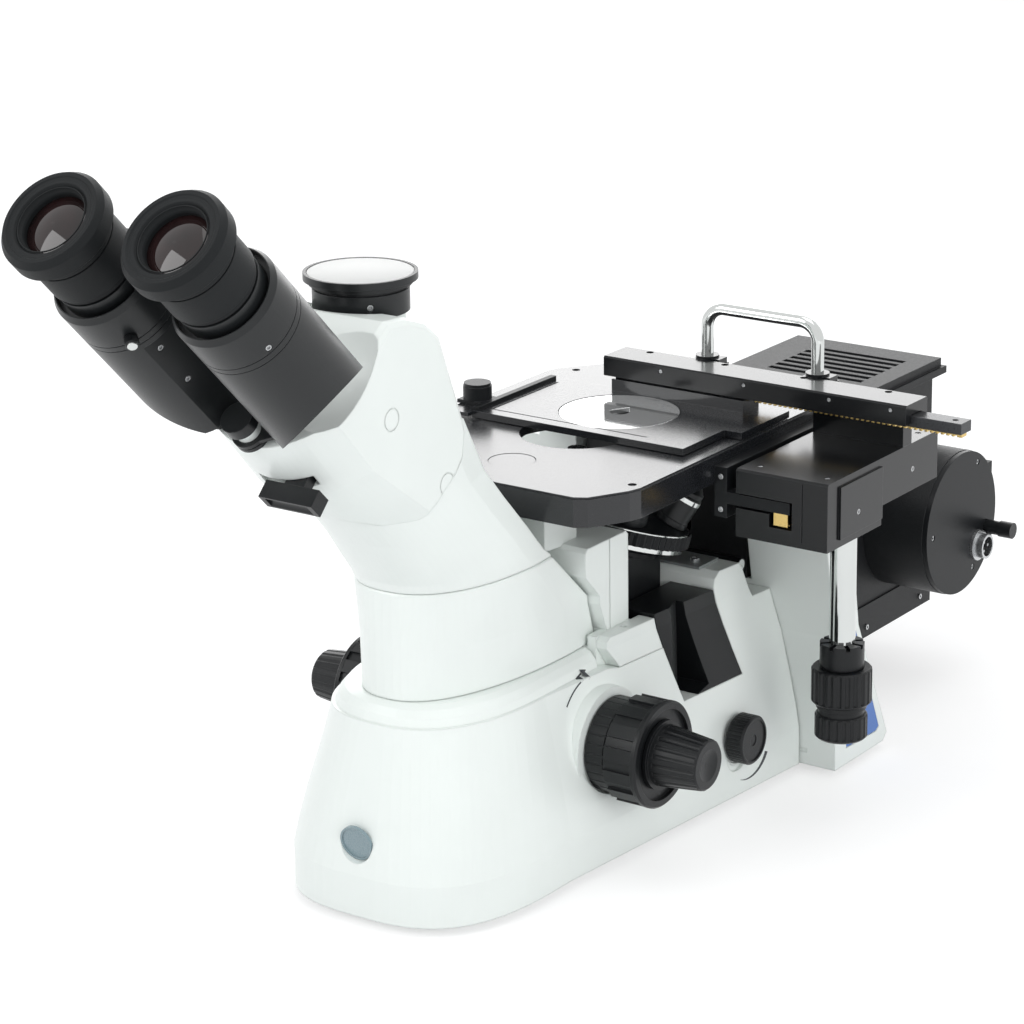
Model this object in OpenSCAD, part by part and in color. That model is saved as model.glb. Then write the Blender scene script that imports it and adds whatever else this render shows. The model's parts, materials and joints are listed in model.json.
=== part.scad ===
// Inverted bench microscope with an inclined binocular head and a mechanical stage.
// X runs to the operator's right, Y to the back, Z up; the focus axis lies at y = 0.
// Every node is drawn in the assembled position.

/* [Base casting] */
// Height of the rubber feet, where the castings begin
foot_h = 4; // [3:0.5:6]
// Half width of the skirt at the front, on the table
skirt_w = 64; // [60:0.5:66]
// Front of the skirt on the table
skirt_front = -131; // [-136:0.5:-128]
// Sideways flare of the skirt for each mm towards the back
skirt_flare = 0.083; // [0.07:0.001:0.09]
// Height where the upright foot wall starts to lean in
skirt_knee = 25; // [20:1:30]
// Height of the soft shoulder where the skirt meets the neck
shoulder_z = 106; // [104:0.5:108]
// Half width of the skirt at the shoulder
shoulder_w = 48; // [46:0.5:50]
// Front of the skirt at the shoulder
shoulder_front = -112; // [-115:0.5:-110]

/* [Neck and arm] */
// Half width of the neck
neck_w = 40; // [38:0.5:41]
// Front of the neck
neck_front = -103; // [-105:0.5:-101]
// Height of the seam between neck and arm
seam_z = 160; // [158:0.5:162]
// Half width of the arm where it enters the head
arm_w = 37; // [35:0.5:37]
// Radius of the light bore in the castings
beam_r = 12; // [8:0.5:14]

/* [Head] */
// Half width of the head casting
head_w = 38; // [37.5:0.5:40]
// Rounding of the head's edges
head_round = 4; // [2:0.5:5]
// Tilt of the eyepieces from the vertical
eye_tilt = 45; // [44:0.5:46]
// Distance between the two eyepieces
eye_distance = 66.4; // [64:0.2:68]
// Height of the eyepieces over the pivot, square to the tubes
eye_raise = 17; // [16:0.5:18]
// Radius of the prism housings
housing_r = 25; // [23:0.5:25]
// Length of the prism housings
housing_len = 94; // [88:1:98]
// Radius of the eyepiece body
ocular_r = 21; // [19:0.5:21.5]
// Radius of the rubber eyecup
cup_r = 25; // [23:0.5:26]
// Distance of the eyecup's face from the housing foot
eye_len = 137; // [133:1:141]
// Place of the camera port behind the head's front
port_y = -113; // [-115:0.5:-112]
// Radius of the camera port's collar
port_r = 22.5; // [21:0.5:24]

/* [Focus drive] */
// Height of the focus axis
focus_z = 62.7; // [60:0.1:66]
// Radius of the coarse knobs
coarse_r = 27; // [25:0.5:28]
// Radius of the fine knobs at their root
fine_r = 15.5; // [13:0.5:17]
// Radius of the tension ring
tension_r = 24; // [22:0.5:25]
// Outer face of the coarse knobs
coarse_x = 92; // [90:0.5:95]
// Outer face of the fine knobs
fine_x = 117.5; // [112:0.5:120]
// Radius of the hollow coarse shaft
coarse_shaft_r = 8; // [7:0.5:9]
// Radius of the fine shaft inside it
fine_shaft_r = 4; // [3:0.5:5]

/* [Stage] */
// Upper face of the fixed stage plate
stage_z = 197; // [196:0.5:198]
// Thickness of the fixed stage plate
stage_t = 15; // [14:0.5:15.5]
// Half width of the fixed stage plate
stage_w = 79; // [78:0.5:79]
// Place of the optical axis behind the focus axis
axis_y = 62; // [60:0.5:63]
// Radius of the light opening in the fixed plate
opening_r = 29; // [27:0.5:30]
// Thickness of the sliding specimen plate
plate_t = 3.6; // [3.4:0.1:3.8]
// Radius of the round stage insert
insert_r = 31; // [29:0.5:31.5]
// Radius of the chrome drive tube
drive_tube_r = 6.7; // [6:0.1:7.5]
// Radius of the upper drive knob
upper_knob_r = 15.4; // [14:0.2:16]
// Radius of the lower drive knob
lower_knob_r = 13.4; // [12:0.2:14]
// Thickness of the chrome handle
handle_d = 6.5; // [5:0.5:7]

/* [Nosepiece] */
// Tilt of the turret axis
turret_tilt = 17; // [16.5:0.5:17.5]
// Direction of the tilt, from X towards Y
turret_turn = 60; // [57:1:62]
// Radius of the knurled turret ring
turret_r = 39; // [37:0.5:39]
// Radius of the circle of objectives
pitch_r = 26; // [25.5:0.5:26.5]
// Height of the turret ring
turret_z = 146; // [145.5:0.5:146.5]

/* [Lamp house] */
// Half width of the lamp house
lamp_w = 47; // [44:0.5:48]
// Front of the lamp house
lamp_front = 258; // [256:0.5:260]
// Back of the lamp house
lamp_back = 354; // [352:0.5:358]
// Radius of the side drum
drum_r = 41; // [38:0.5:42]

/* [Fits] */
// Gap between pieces that move past each other
gap = 0.4; // [0.3:0.05:0.5]
// Radial clearance of shafts in their bores
run = 0.05; // [0.03:0.01:0.08]

/* [Hidden] */
fine = 96;
round_fn = 64;
seg = 5;
groove = 0.3;
cut = 1;

skirt_ys = -40;
skirt_end = 152;
skirt_n = 3;
shoulder_n = 2.5;
neck_n = 2.35;
neck_ys = -30;
ledge_z = 112;
cover_z = 95;
rim_z = 122;
shelf_z = 101;
pocket_x = 46;
pocket_y0 = 41;
pocket_y1 = 97.5;
pocket_z = 58;
focus_pad_x = 60;

half_eye = eye_distance / 2;
arm_r = sqrt(half_eye * half_eye + eye_raise * eye_raise);
pivot = [0, -197, 263];
hub_r = 6;
pin_r = 3.5;
nose_len = 5;
plate_a = 2;
flat_at = 22;
well_z = 40;
ocular_foot = housing_len - 26;
cup_foot = eye_len - 12;
cup_seat = eye_len - 7;
keel_turn = -45;
keel_low = -8;
keel_rise = 20;

beam_z = 90;
fold_y = -20;
beam_top = [-125, 228];

stage_u = stage_z - stage_t;
rail_t = 7;
rail_front = 67;
rail_back = 182;
box_x0 = stage_w + 13;
box_x1 = box_x0 + 52;
tube_x = box_x0 + 39;
tongue_x = box_x0 + 30;
rack_x = box_x0 + 21;
tube_y = 105.5;
rail_y0 = 130.3;
rail_y1 = 140.7;
rail_z0 = 207.2;
rail_z1 = 212.8;
bar_z0 = 208.5;
bar_z1 = 219;
bar_y0 = 125;
bar_y1 = 147;
handle_y = 152;
handle_x = [22, 88];
insert_at = [5, 94];

seat_z = 7.8;
seat_off = pitch_r * cos(turret_tilt) - seat_z * sin(turret_tilt);
turret_x = seat_off * cos(turret_turn);
turret_y = axis_y + seat_off * sin(turret_turn);
n_objectives = 5;
objective_len = [28, 22, 25, 27, 20];

column_w = 101;
column_back = 166;
window_w = 53;
window_z = 104;
rocker_y = 178;
rocker_z = 40;

stage_holes = [[72, 3], [-66, 160], [-72, 3], [70, 172]];
drum_holes = [[335, 125], [284, 94], [332, 64]];

// Side opening in the right wall for the black liner as [y, z]
recess = [[48, 114], [98, 115], [112, 65], [62, 65]];
// Outline of the head casting in the side view as [y, z]
head_outline = [
    [-148, 301], [-142, 305], [-128, 304], [-114, 299], [-103, 290], [-96, 272], [-86, 247],
    [-84, 240], [-86, 228], [-92, 221], [-107, 210], [-118, 205], [-130, 204], [-153, 211],
    [-178, 223], [-194, 235], [-200, 246], [-200, 254]
];
// Side view outlines of the rear column and its panels as [y, z]
column_outline = [
    [153, 4], [205, 4], [209, 8], [176, 79], [168, 129], [163, 182], [139.5, 182], [142, 129], [151, 78]
];
panel_outline = [[165, 13], [197, 12], [200, 14], [173, 77], [164, 126], [146, 126], [154, 80]];

// Primitives

module slab(a, b) {
    translate(a) cube(b - a);
}

module xrod(r, x0, x1, y, z, n = round_fn) {
    translate([x0, y, z]) rotate([0, 90, 0]) cylinder(r = r, h = x1 - x0, $fn = n);
}

module zrod(r, z0, z1, x, y, n = round_fn) {
    translate([x, y, z0]) cylinder(r = r, h = z1 - z0, $fn = n);
}

module side_prism(outline, x0, x1) {
    translate([x0, 0, 0]) rotate([90, 0, 90]) linear_extrude(x1 - x0) polygon(outline);
}

module both_sides() {
    children();
    mirror([1, 0, 0]) children();
}

// Skin over rings that all have the same number of points, listed from below upwards
module loft(rings) {
    n = len(rings[0]);
    m = len(rings);
    points = [for (r = rings) for (p = r) p];
    sides = [for (j = [0:m - 2]) for (i = [0:n - 1])
        let (a = j * n + i, b = j * n + (i + 1) % n)
        each [[a, a + n, b + n], [a, b + n, b]]];
    polyhedron(
        points = points,
        faces = concat([[for (i = [0:n - 1]) i]], sides, [[for (i = [n - 1:-1:0]) (m - 1) * n + i]])
    );
}

// Round-fronted plan: half of a superellipse of power n, then straight sides to the back
function plan(w0, front, ys, n, w1, back) = concat(
    [for (a = [0:seg:90])
        [w0 * pow(sin(a), 2 / n), ys - (ys - front) * pow(cos(a), 2 / n)]],
    [[w1, back], [-w1, back]],
    [for (a = [90:-seg:seg])
        [-w0 * pow(sin(a), 2 / n), ys - (ys - front) * pow(cos(a), 2 / n)]]
);

function at_z(outline, z) = [for (p = outline) [p[0], p[1], z]];

function mix(a, b, t) = a + (b - a) * t;

// How far the skirt has leaned in at height z, 0 at the knee and 1 at the shoulder
function lean(z) =
    let (u = min(1, max(0, (z - skirt_knee) / (shoulder_z - skirt_knee))))
    0.65 * u + 0.35 * u * u * (3 - 2 * u);

function skirt_half(z, y) =
    mix(skirt_w, shoulder_w, lean(z)) + skirt_flare * max(0, y - skirt_ys);

function skirt_ring(z) = at_z(plan(
    mix(skirt_w, shoulder_w, lean(z)), mix(skirt_front, shoulder_front, lean(z)),
    skirt_ys, mix(skirt_n, shoulder_n, lean(z)), skirt_half(z, skirt_end), skirt_end), z);

function shoulder_ring(z, t) = at_z(plan(
    mix(shoulder_w, neck_w, t), mix(shoulder_front, neck_front, t),
    skirt_ys, mix(shoulder_n, neck_n, t), mix(shoulder_w, neck_w, t), skirt_end), z);

// Outside of the skirt up to the height of the rear rim
module skirt_skin() {
    loft([for (z = [foot_h, skirt_knee, 38, 52, 66, 80, 94, shoulder_z, rim_z + cut]) skirt_ring(z)]);
}

// Softly rounded top edge of the skirt in front of the covers
module shoulder_skin() {
    loft([
        shoulder_ring(shoulder_z - 9, 0), shoulder_ring(shoulder_z - 5, 0.15),
        shoulder_ring(shoulder_z - 1.5, 0.5), shoulder_ring(shoulder_z, 0.9)
    ]);
}

module recess_prism(grow, x0, x1) {
    side_prism([
        [recess[0][0] - grow, recess[0][1] + 20], [recess[1][0] + grow - 5.7, recess[1][1] + 20],
        [recess[1][0] + grow, recess[1][1]], [recess[2][0] + grow, recess[2][1] - grow],
        [recess[3][0] - grow, recess[3][1] - grow], [recess[0][0] - grow, recess[0][1]]
    ], x0, x1);
}

// Slanted light bore from the fold mirror to the head
module beam_bore() {
    rise = beam_top[1] - beam_z;
    run_y = fold_y - beam_top[0];
    translate([0, fold_y, beam_z]) rotate([atan2(run_y, rise), 0, 0])
        cylinder(r = beam_r, h = norm([rise, run_y]), $fn = 32);
}

module base_casting() color([0.91, 0.94, 0.92]) {
    front_y = 8;
    step_y = 18;
    cover_end = 65.3;
    outer = [
        [skirt_front - cut, foot_h - cut], [skirt_end - 0.2, foot_h - cut], [150.6, 78], [146.5, shelf_z],
        [131, shelf_z], [122.5, rim_z - 3], [120, rim_z], [103, rim_z], [99, rim_z - 3.5],
        [98, ledge_z], [cover_end, ledge_z], [cover_end, cover_z], [step_y, cover_z],
        [front_y + 1.5, shoulder_z - 9], [skirt_front - cut, shoulder_z - 9]
    ];
    difference() {
        union() {
            intersection() {
                skirt_skin();
                side_prism(outer, -120, 120);
            }
            intersection() {
                shoulder_skin();
                slab([-60, skirt_front, 90], [60, front_y, shoulder_z]);
            }
            difference() {
                slab([-pocket_x, front_y - cut, 90], [pocket_x, pocket_y0 + cut, ledge_z]);
                slab([-neck_w - 1, 0, shoulder_z], [neck_w + 1, 20.8, ledge_z + cut]);
                slab([-60, 0, shoulder_z - 9], [60, front_y + 1.5, ledge_z + cut]);
            }
            // Flat pads around the focus axis and the dial
            both_sides() xrod(coarse_r + 1, 40, focus_pad_x, 0, focus_z);
            xrod(tension_r - 2, -coarse_x + 19.4, -focus_pad_x + cut, 0, focus_z);
        }
        // Pocket for the nosepiece carrier, open at the top
        slab([-pocket_x, pocket_y0, pocket_z], [pocket_x, pocket_y1, rim_z + 2 * cut]);
        recess_prism(0, pocket_x - cut, 80);
        // Hollow underside for the electronics
        slab([-50, -80, foot_h - cut], [50, 128, 46]);
        // Sunk seats of the tension ring and the dial
        xrod(tension_r + 1.2, focus_pad_x, 90, 0, focus_z);
        xrod(13.8, skirt_half(36, 98), 95, 98, 36);
        // Focus shaft, dial shaft and light bores
        xrod(coarse_shaft_r + run, -90, 90, 0, focus_z);
        xrod(3.5 + run, 62, 90, 98, 36);
        translate([0, pocket_y0 + cut, beam_z]) rotate([90, 0, 0])
            cylinder(r = beam_r + 2, h = pocket_y0 + cut - fold_y + 12, $fn = 48);
        beam_bore();
        // Shallow seat of the badge
        badge_frame() cylinder(r = 9.3, h = 12, $fn = round_fn);
        // Screw pockets in the ledge
        both_sides() zrod(1.6, ledge_z - 6, ledge_z + cut, 34, 25, 24);
        // Crescent mark below the dial
        translate([skirt_half(24, 90) - 0.6, 96, 26]) rotate([0, 90, 0]) difference() {
            cylinder(r = 8, h = 6, $fn = 48);
            translate([-3, 1, -cut]) cylinder(r = 8.4, h = 8, $fn = 48);
        }
    }
}

// Frame on the front wall, Z pointing out towards the operator
module badge_frame() {
    translate([0, -126.8, 41]) rotate([102, 0, 0]) children();
}

module badge() color([0.3, 0.38, 0.42]) badge_frame() {
    cylinder(r = 9, h = 1.4, $fn = fine);
    translate([0, 0, 1.4]) difference() {
        cylinder(r = 9, h = 0.6, $fn = fine);
        translate([0, 0, -cut]) cylinder(r = 8, h = 2 * cut, $fn = fine);
    }
}

module side_covers() color([0.9, 0.93, 0.91]) {
    front_y = 9.8;
    step_y = 18.3;
    end_y = 65;
    shape = [
        [front_y, shoulder_z + 0.3], [front_y, ledge_z - 2], [front_y + 3, ledge_z], [end_y, ledge_z],
        [end_y, cover_z + groove], [step_y, cover_z + groove]
    ];
    difference() {
        intersection() {
            skirt_skin();
            side_prism(shape, -70, 70);
            both_sides() slab([pocket_x + 0.05, 0, 90], [70, 70, 120]);
        }
        recess_prism(groove, pocket_x - cut, 80);
        both_sides() zrod(1.5, ledge_z - 6, ledge_z + cut, 49, 30, 24);
    }
}

// Ring across the neck or arm between a front and a rear point given as [y, z]
function cross_ring(f, r, w, n) =
    let (len_y = r[0] - f[0], bow = 0.8)
    [for (p = plan(w, 0, bow, n, w * 0.96, 1)) [p[0], f[0] + len_y * p[1], f[1] + (r[1] - f[1]) * p[1]]];

module neck_casting() color([0.92, 0.945, 0.925]) difference() {
    loft([
        cross_ring([neck_front, shoulder_z + groove], [20, shoulder_z + groove], neck_w, neck_n),
        cross_ring([neck_front, 127], [14, 127], neck_w, neck_n),
        cross_ring([neck_front, 131], [13.5, 131], neck_w, neck_n),
        cross_ring([neck_front, seam_z - 1], [-16, seam_z - 1], neck_w, neck_n),
        cross_ring([neck_front + 0.6, seam_z], [-17, seam_z], neck_w - 0.6, neck_n)
    ]);
    beam_bore();
}

module head_envelope() hull() {
    side_prism(head_outline, -head_w + head_round, head_w - head_round);
    rotate([90, 0, 90]) linear_extrude(2 * head_w, center = true)
        offset(delta = -head_round * 0.8) polygon(head_outline);
    rotate([90, 0, 90]) linear_extrude(2 * head_w - head_round * 0.6, center = true)
        offset(delta = -head_round * 0.25) polygon(head_outline);
}

module arm_casting() color([0.92, 0.945, 0.925]) difference() {
    loft([
        cross_ring([neck_front + 0.6, seam_z + groove], [-17, seam_z + groove], neck_w - 0.6, neck_n),
        cross_ring([neck_front, seam_z + 1.3], [-18, seam_z + 1.3], neck_w, neck_n),
        cross_ring([-104.5, 165], [-24, 166], neck_w, neck_n),
        cross_ring([-113, 176], [-38, 182], 39.4, neck_n),
        cross_ring([-123, 189], [-54, 200], 38.2, neck_n),
        cross_ring([-135, 202], [-68, 217], arm_w, neck_n),
        cross_ring([-150, 216], [-84, 246], arm_w, neck_n)
    ]);
    head_form();
    beam_bore();
}

// Frame on the pivot of the binocular tubes, Z along the tubes, Y square to them and up
module pivot_frame() {
    translate(pivot) rotate([eye_tilt, 0, 0]) children();
}

// Frame at the foot of one eyepiece tube
module eye_frame(side) {
    pivot_frame() translate([side * half_eye, eye_raise, 0]) children();
}

// Underside of the head across at place t along the tubes: round, lowest in the middle
function keel_ring(t) =
    let (low = keel_low + (t > keel_turn ? 0.06 : -0.16) * (t - keel_turn), n = 24)
    at_z(concat(
        [for (i = [0:n]) let (u = 1 - 2 * i / n) [head_w * u, low + keel_rise * u * u]],
        [[-head_w - cut, low + keel_rise], [-head_w - cut, -70], [head_w + cut, -70],
            [head_w + cut, low + keel_rise]]), t);

// Head without its cuts: the outline with a rounded underside
module head_form() difference() {
    head_envelope();
    pivot_frame() loft([for (t = [-125, -100, -80, -60, keel_turn, 20]) keel_ring(t)]);
}

module head_casting() color([0.925, 0.945, 0.93]) {
    bowl_r = 49.3;
    cap_r = 5;
    moat_z = 289;
    difference() {
        union() {
            difference() {
                head_form();
                pivot_frame() {
                    // Flat face behind the swing plates, and a bowl behind each housing
                    slab([-60, -60, -2 * plate_a - 1.4], [60, 90, 60]);
                    for (side = [-1, 1]) translate([side * 30, 36, 34.5]) sphere(r = bowl_r, $fn = 64);
                }
                zrod(port_r + 5, moat_z, moat_z + 40, 0, port_y);
            }
            // Nose that the tubes swing around
            pivot_frame() translate([0, 0, -30]) cylinder(r = hub_r, h = 30 + nose_len, $fn = round_fn);
            // White foot of the camera port
            zrod(port_r - 2, 270, 300, 0, port_y);
        }
        pivot_frame() translate([0, 0, nose_len - 9]) cylinder(r = pin_r + run, h = 20, $fn = 32);
        // Rings around the screw caps on the cheeks
        both_sides() for (p = [[-142, 260], [-101, 219]]) difference() {
            xrod(cap_r + 0.4, head_w - 0.5, head_w + cut, p[0], p[1], 48);
            xrod(cap_r, head_w - 2, head_w + 2 * cut, p[0], p[1], 48);
        }
        slider_slot(gap);
        beam_bore();
        zrod(14, 255, 300 + cut, 0, port_y, 32);
    }
}

// Guide slot of the light path slider
module slider_slot(grow) {
    pivot_frame() slab([-9 - grow, -12, -37.5 - grow], [19 + grow, 7 + grow, -31.5 + grow]);
}

module path_slider() color([0.28, 0.3, 0.31]) pivot_frame() translate([12, 0, -34.5]) difference() {
    union() {
        slab([-6, -10, -3], [5, 6.6, 3]);
        slab([-15, -17.5, -4.5], [15, -8.6, 4.5]);
    }
    translate([0, -20.5, 0]) rotate([0, 90, 0]) cylinder(r = 4.5, h = 24, center = true, $fn = 32);
}

module pivot_hub() color([0.12, 0.13, 0.14]) pivot_frame() {
    translate([0, 0, nose_len]) cylinder(r = hub_r + 2, h = 6, $fn = round_fn);
    translate([0, 0, nose_len - 8]) cylinder(r = pin_r, h = 9, $fn = 32);
}

// Swing plate that carries one housing, between two heights over the pivot
module swing_plate(side, z0) {
    span = 14;
    swing = atan2(eye_raise, side * half_eye);
    translate([0, 0, z0]) difference() {
        union() {
            rotate([0, 0, side > 0 ? 180 : 0]) cylinder(r = hub_r + 2.5, h = plate_a, $fn = round_fn);
            rotate([0, 0, swing]) slab([0, -span / 2, 0], [arm_r, span / 2, plate_a]);
            translate([side * half_eye, eye_raise, 0]) cylinder(r = housing_r - 3, h = plate_a + cut, $fn = round_fn);
        }
        translate([0, 0, -cut]) cylinder(r = hub_r + run, h = plate_a + 2 * cut, $fn = round_fn);
    }
}

module housing_shell(side) {
    line = housing_len * 0.74;
    deep = housing_r - 0.5;
    collar = ocular_r - 0.6;
    fit_r = ocular_r - 2 + run;
    difference() {
        rotate_extrude($fn = fine) polygon([
            [0, -0.6], [housing_r, -0.6],
            [housing_r, line], [deep, line], [deep, line + 0.5], [housing_r, line + 0.5],
            [housing_r, line + 3.5], [deep, line + 3.5], [deep, line + 4], [housing_r, line + 4],
            [housing_r, housing_len - 3], [housing_r - 1.6, housing_len], [housing_r - 2.2, housing_len],
            [housing_r - 2.2, housing_len - 4], [collar, housing_len - 4], [collar, housing_len + 5],
            [fit_r, housing_len + 5], [fit_r, well_z], [beam_r - 3, well_z], [beam_r - 3, 12], [0, 12]
        ]);
        // Flat on the inner side and screw holes in the wall
        rotate([0, 0, side > 0 ? 200 : -20]) slab([flat_at, -14, -cut], [flat_at + 5, 14, line - 3]);
        housing_screw_places(side) translate([0, 0, -2]) cylinder(r = 1.6, h = 6, $fn = 16);
    }
}

// Places of the screws on one housing, Z pointing out of its wall
module housing_screw_places(side) {
    for (p = [[side > 0 ? -30 : -50, housing_len - 18, 0, 0], [side > 0 ? 200 : -20, 59, 2, side * 6],
            [side > 0 ? 200 : -20, 34, 2, side * 6.5]])
        rotate([0, 0, p[0]]) translate([housing_r - 1.4 - p[2], p[3], p[1]]) rotate([0, 90, 0]) children();
}

// Space below the slanting end of a housing, whose outer side is the shorter one
module mitre(side) {
    eye_frame(side) translate([0, 0, 0.75]) rotate([-22.5, 0, 0]) rotate([0, -side * 41, 0])
        translate([-80, -80, -160]) cube(160);
}

module housing_right() color([0.14, 0.15, 0.16]) difference() {
    union() {
        eye_frame(1) housing_shell(1);
        pivot_frame() swing_plate(1, -0.7 - plate_a);
    }
    mitre(1);
}

module housing_left() color([0.14, 0.15, 0.16]) difference() {
    union() {
        eye_frame(-1) {
            housing_shell(-1);
            translate([0, 0, -2 - plate_a]) cylinder(r = housing_r - 5.2, h = plate_a + 2, $fn = round_fn);
        }
        pivot_frame() swing_plate(-1, -1.3 - 2 * plate_a);
    }
    mitre(-1);
}

module ocular_tube() difference() {
    union() {
        translate([0, 0, ocular_foot]) cylinder(r = ocular_r - 2, h = 36, $fn = fine);
        translate([0, 0, housing_len + 6]) cylinder(r = ocular_r - 1, h = 3, $fn = fine);
        translate([0, 0, housing_len + 9]) cylinder(r = ocular_r, h = cup_foot - housing_len - 9, $fn = fine);
        translate([0, 0, cup_foot]) cylinder(r = ocular_r - 2, h = cup_seat - cup_foot, $fn = fine);
    }
    translate([0, 0, ocular_foot - cut]) cylinder(r = 15, h = cup_seat - ocular_foot + 2 * cut, $fn = fine);
    translate([0, 0, cup_foot - 5]) difference() {
        cylinder(r = ocular_r + cut, h = 0.8, $fn = fine);
        translate([0, 0, -cut]) cylinder(r = ocular_r - 0.6, h = 3, $fn = fine);
    }
}

module eyecup() rotate_extrude($fn = fine) polygon([
    [ocular_r - 2, cup_foot], [cup_r - 1.5, cup_foot], [cup_r, cup_foot + 1.5], [cup_r, eye_len - 3],
    [cup_r - 2.2, eye_len], [cup_r - 4, eye_len], [cup_r - 4.6, eye_len - 0.6], [18, eye_len - 1],
    [15.4, eye_len - 4], [15, eye_len - 5], [15, cup_seat], [ocular_r - 2, cup_seat]
]);

module eyepiece_right() color([0.13, 0.14, 0.15]) eye_frame(1) {
    ocular_tube();
    eyecup();
}

module eyepiece_left() color([0.13, 0.14, 0.15]) eye_frame(-1) {
    ocular_tube();
    eyecup();
}

// Eye lens with a bulged outer face, and the field lens below it
module ocular_lens(side) eye_frame(side) {
    bulge_r = 34;
    rise = bulge_r - sqrt(bulge_r * bulge_r - 15 * 15);
    intersection() {
        translate([0, 0, cup_seat - 4]) cylinder(r = 14.95, h = 4 + rise, $fn = fine);
        translate([0, 0, cup_seat + rise - bulge_r]) sphere(r = bulge_r, $fn = fine);
    }
    translate([0, 0, ocular_foot + 4]) cylinder(r = 14.95, h = 3, $fn = fine);
}

module lens_right() color([0.5, 0.4, 0.45, 0.8]) ocular_lens(1);

module lens_left() color([0.5, 0.4, 0.45, 0.8]) ocular_lens(-1);

// Headless screw with a hexagon socket, its end face at height h
module socket_screw(r, h) {
    difference() {
        translate([0, 0, -1.5]) cylinder(r = r, h = h + 1, $fn = 24);
        translate([0, 0, h - 2]) cylinder(r = r * 0.5, h = 2, $fn = 6);
    }
}

module port_collar() color([0.12, 0.13, 0.14]) {
    difference() {
        union() {
            zrod(port_r, 300, 310.6, 0, port_y, fine);
            zrod(port_r - 1.5, 310, 312, 0, port_y, fine);
        }
        zrod(14, 299, 314, 0, port_y);
        translate([0, port_y, 305.5]) rotate([0, 90, -41.6]) translate([0, 0, port_r - 5])
            cylinder(r = 1.6, h = 8, $fn = 16);
    }
}

module port_cap() color([0.15, 0.16, 0.17]) difference() {
    union() {
        zrod(26.5, 314.6, 318, 0, port_y, fine);
        zrod(24, 312 + gap, 315, 0, port_y, fine);
    }
    zrod(24.8, 317.4, 319, 0, port_y, fine);
}

// Riser behind the neck that carries the front of the stage
module stage_riser() color([0.9, 0.93, 0.915]) {
    w = 45;
    difference() {
        union() {
            side_prism([[20.8, ledge_z], [14.8, 127], [14.8, 131.5], [2.4, 144.5], [2.4, 157], [4.4, 159],
                [38.5, 159], [40.5, 157], [40.5, ledge_z]], -w, w);
            side_prism([[-11, 159], [-11, 176], [-15, stage_u], [17, stage_u], [17, 158], [2, 158]], -30, 30);
        }
        both_sides() slab([w - 0.6, 23.6, ledge_z - cut], [w + cut, 24.2, 161]);
    }
}

// Black liner of the side opening, with the brackets of the guide and the mirror
module recess_liner() color([0.11, 0.12, 0.13]) {
    inner_x = 34;
    slab([-6, pocket_y0, 112.5], [6, 49.5, 118]);
    side_prism([[58, pocket_z], [74, pocket_z], [74, 76], [70, 76]], -8, 8);
    front = recess[0];
    difference() {
        intersection() {
            skirt_skin();
            side_prism([[front[0] + groove, front[1]], [pocket_y1 - 0.3, recess[1][1] - 1.5],
                [recess[1][0] - 0.2, recess[1][1] - 2], [recess[2][0] - groove, recess[2][1] + groove],
                [recess[3][0] + groove, recess[3][1] + groove]], inner_x, 80);
            union() {
                slab([pocket_x + 0.02, 40, 60], [80, 120, 120]);
                slab([inner_x, pocket_y0 + 1, 60], [80, pocket_y1 - 0.1, 120]);
            }
        }
        // Sloping front half with a tapered groove beside the flush half
        polyhedron(points = [
            [80, 46, 118], [80, 71.5, 118], [80, 84, 68], [80, 61, 62],
            [60, 46, 118], [53, 71.5, 118], [46.5, 84, 68], [61, 61, 62]
        ], faces = [[0, 1, 2, 3], [7, 6, 5, 4], [4, 5, 1, 0], [5, 6, 2, 1], [6, 7, 3, 2], [7, 4, 0, 3]]);
    }
}

module rear_column() color([0.91, 0.94, 0.92]) difference() {
    side_prism(column_outline, -column_w, column_w);
    // Shoulders below the sliding drive box
    both_sides() slab([stage_w - 2, 130, 164], [column_w + cut, 190, stage_u + cut]);
    // Window for the illuminator and the light walls of the casting
    slab([-window_w, 120, window_z], [window_w, 220, stage_u - 6]);
    slab([-column_w + 12, 162, foot_h - cut], [column_w - 12, 190, 70]);
    side_prism([[168, 60], [220, 60], [220, 190], [172, 190], [168, 129]], window_w + 6, column_w - 8);
    both_sides() side_prism(panel_outline, column_w - 1.5, column_w + cut);
    // Rocker and inlet openings through the side walls
    slab([column_w - 20, rocker_y - 6.2, rocker_z - 9.2], [column_w + cut, rocker_y + 6.2, rocker_z + 9.2]);
    slab([-column_w - cut, 166, 24], [-column_w + 20, 188, 42]);
    both_sides() slab([60, 149.5, 11], [84, 153.2, 13]);
}

module side_panels() color([0.16, 0.4, 0.72]) {
    difference() {
        both_sides() side_prism([for (p = panel_outline) [171 + (p[0] - 171) * 0.985, 65 + (p[1] - 65) * 0.99]],
            column_w - 1.5, column_w);
        slab([column_w - 20, rocker_y - 6.2, rocker_z - 9.2], [column_w + cut, rocker_y + 6.2, rocker_z + 9.2]);
        slab([-column_w - cut, 166, 24], [-column_w + 20, 188, 42]);
    }
}

// Power rocker, tipped with its upper end out
module power_rocker() color([0.16, 0.16, 0.17]) translate([column_w - 4.5, rocker_y, rocker_z]) {
    translate([0, 4.1, 0]) rotate([90, 0, 0]) linear_extrude(8.2)
        polygon([[-2, -3], [5.2, -6], [5.2, 0], [6.4, 6], [-2, 3]]);
    rotate([90, 0, 0]) cylinder(r = 1.2, h = 8.8, center = true, $fn = 24);
}

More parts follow.
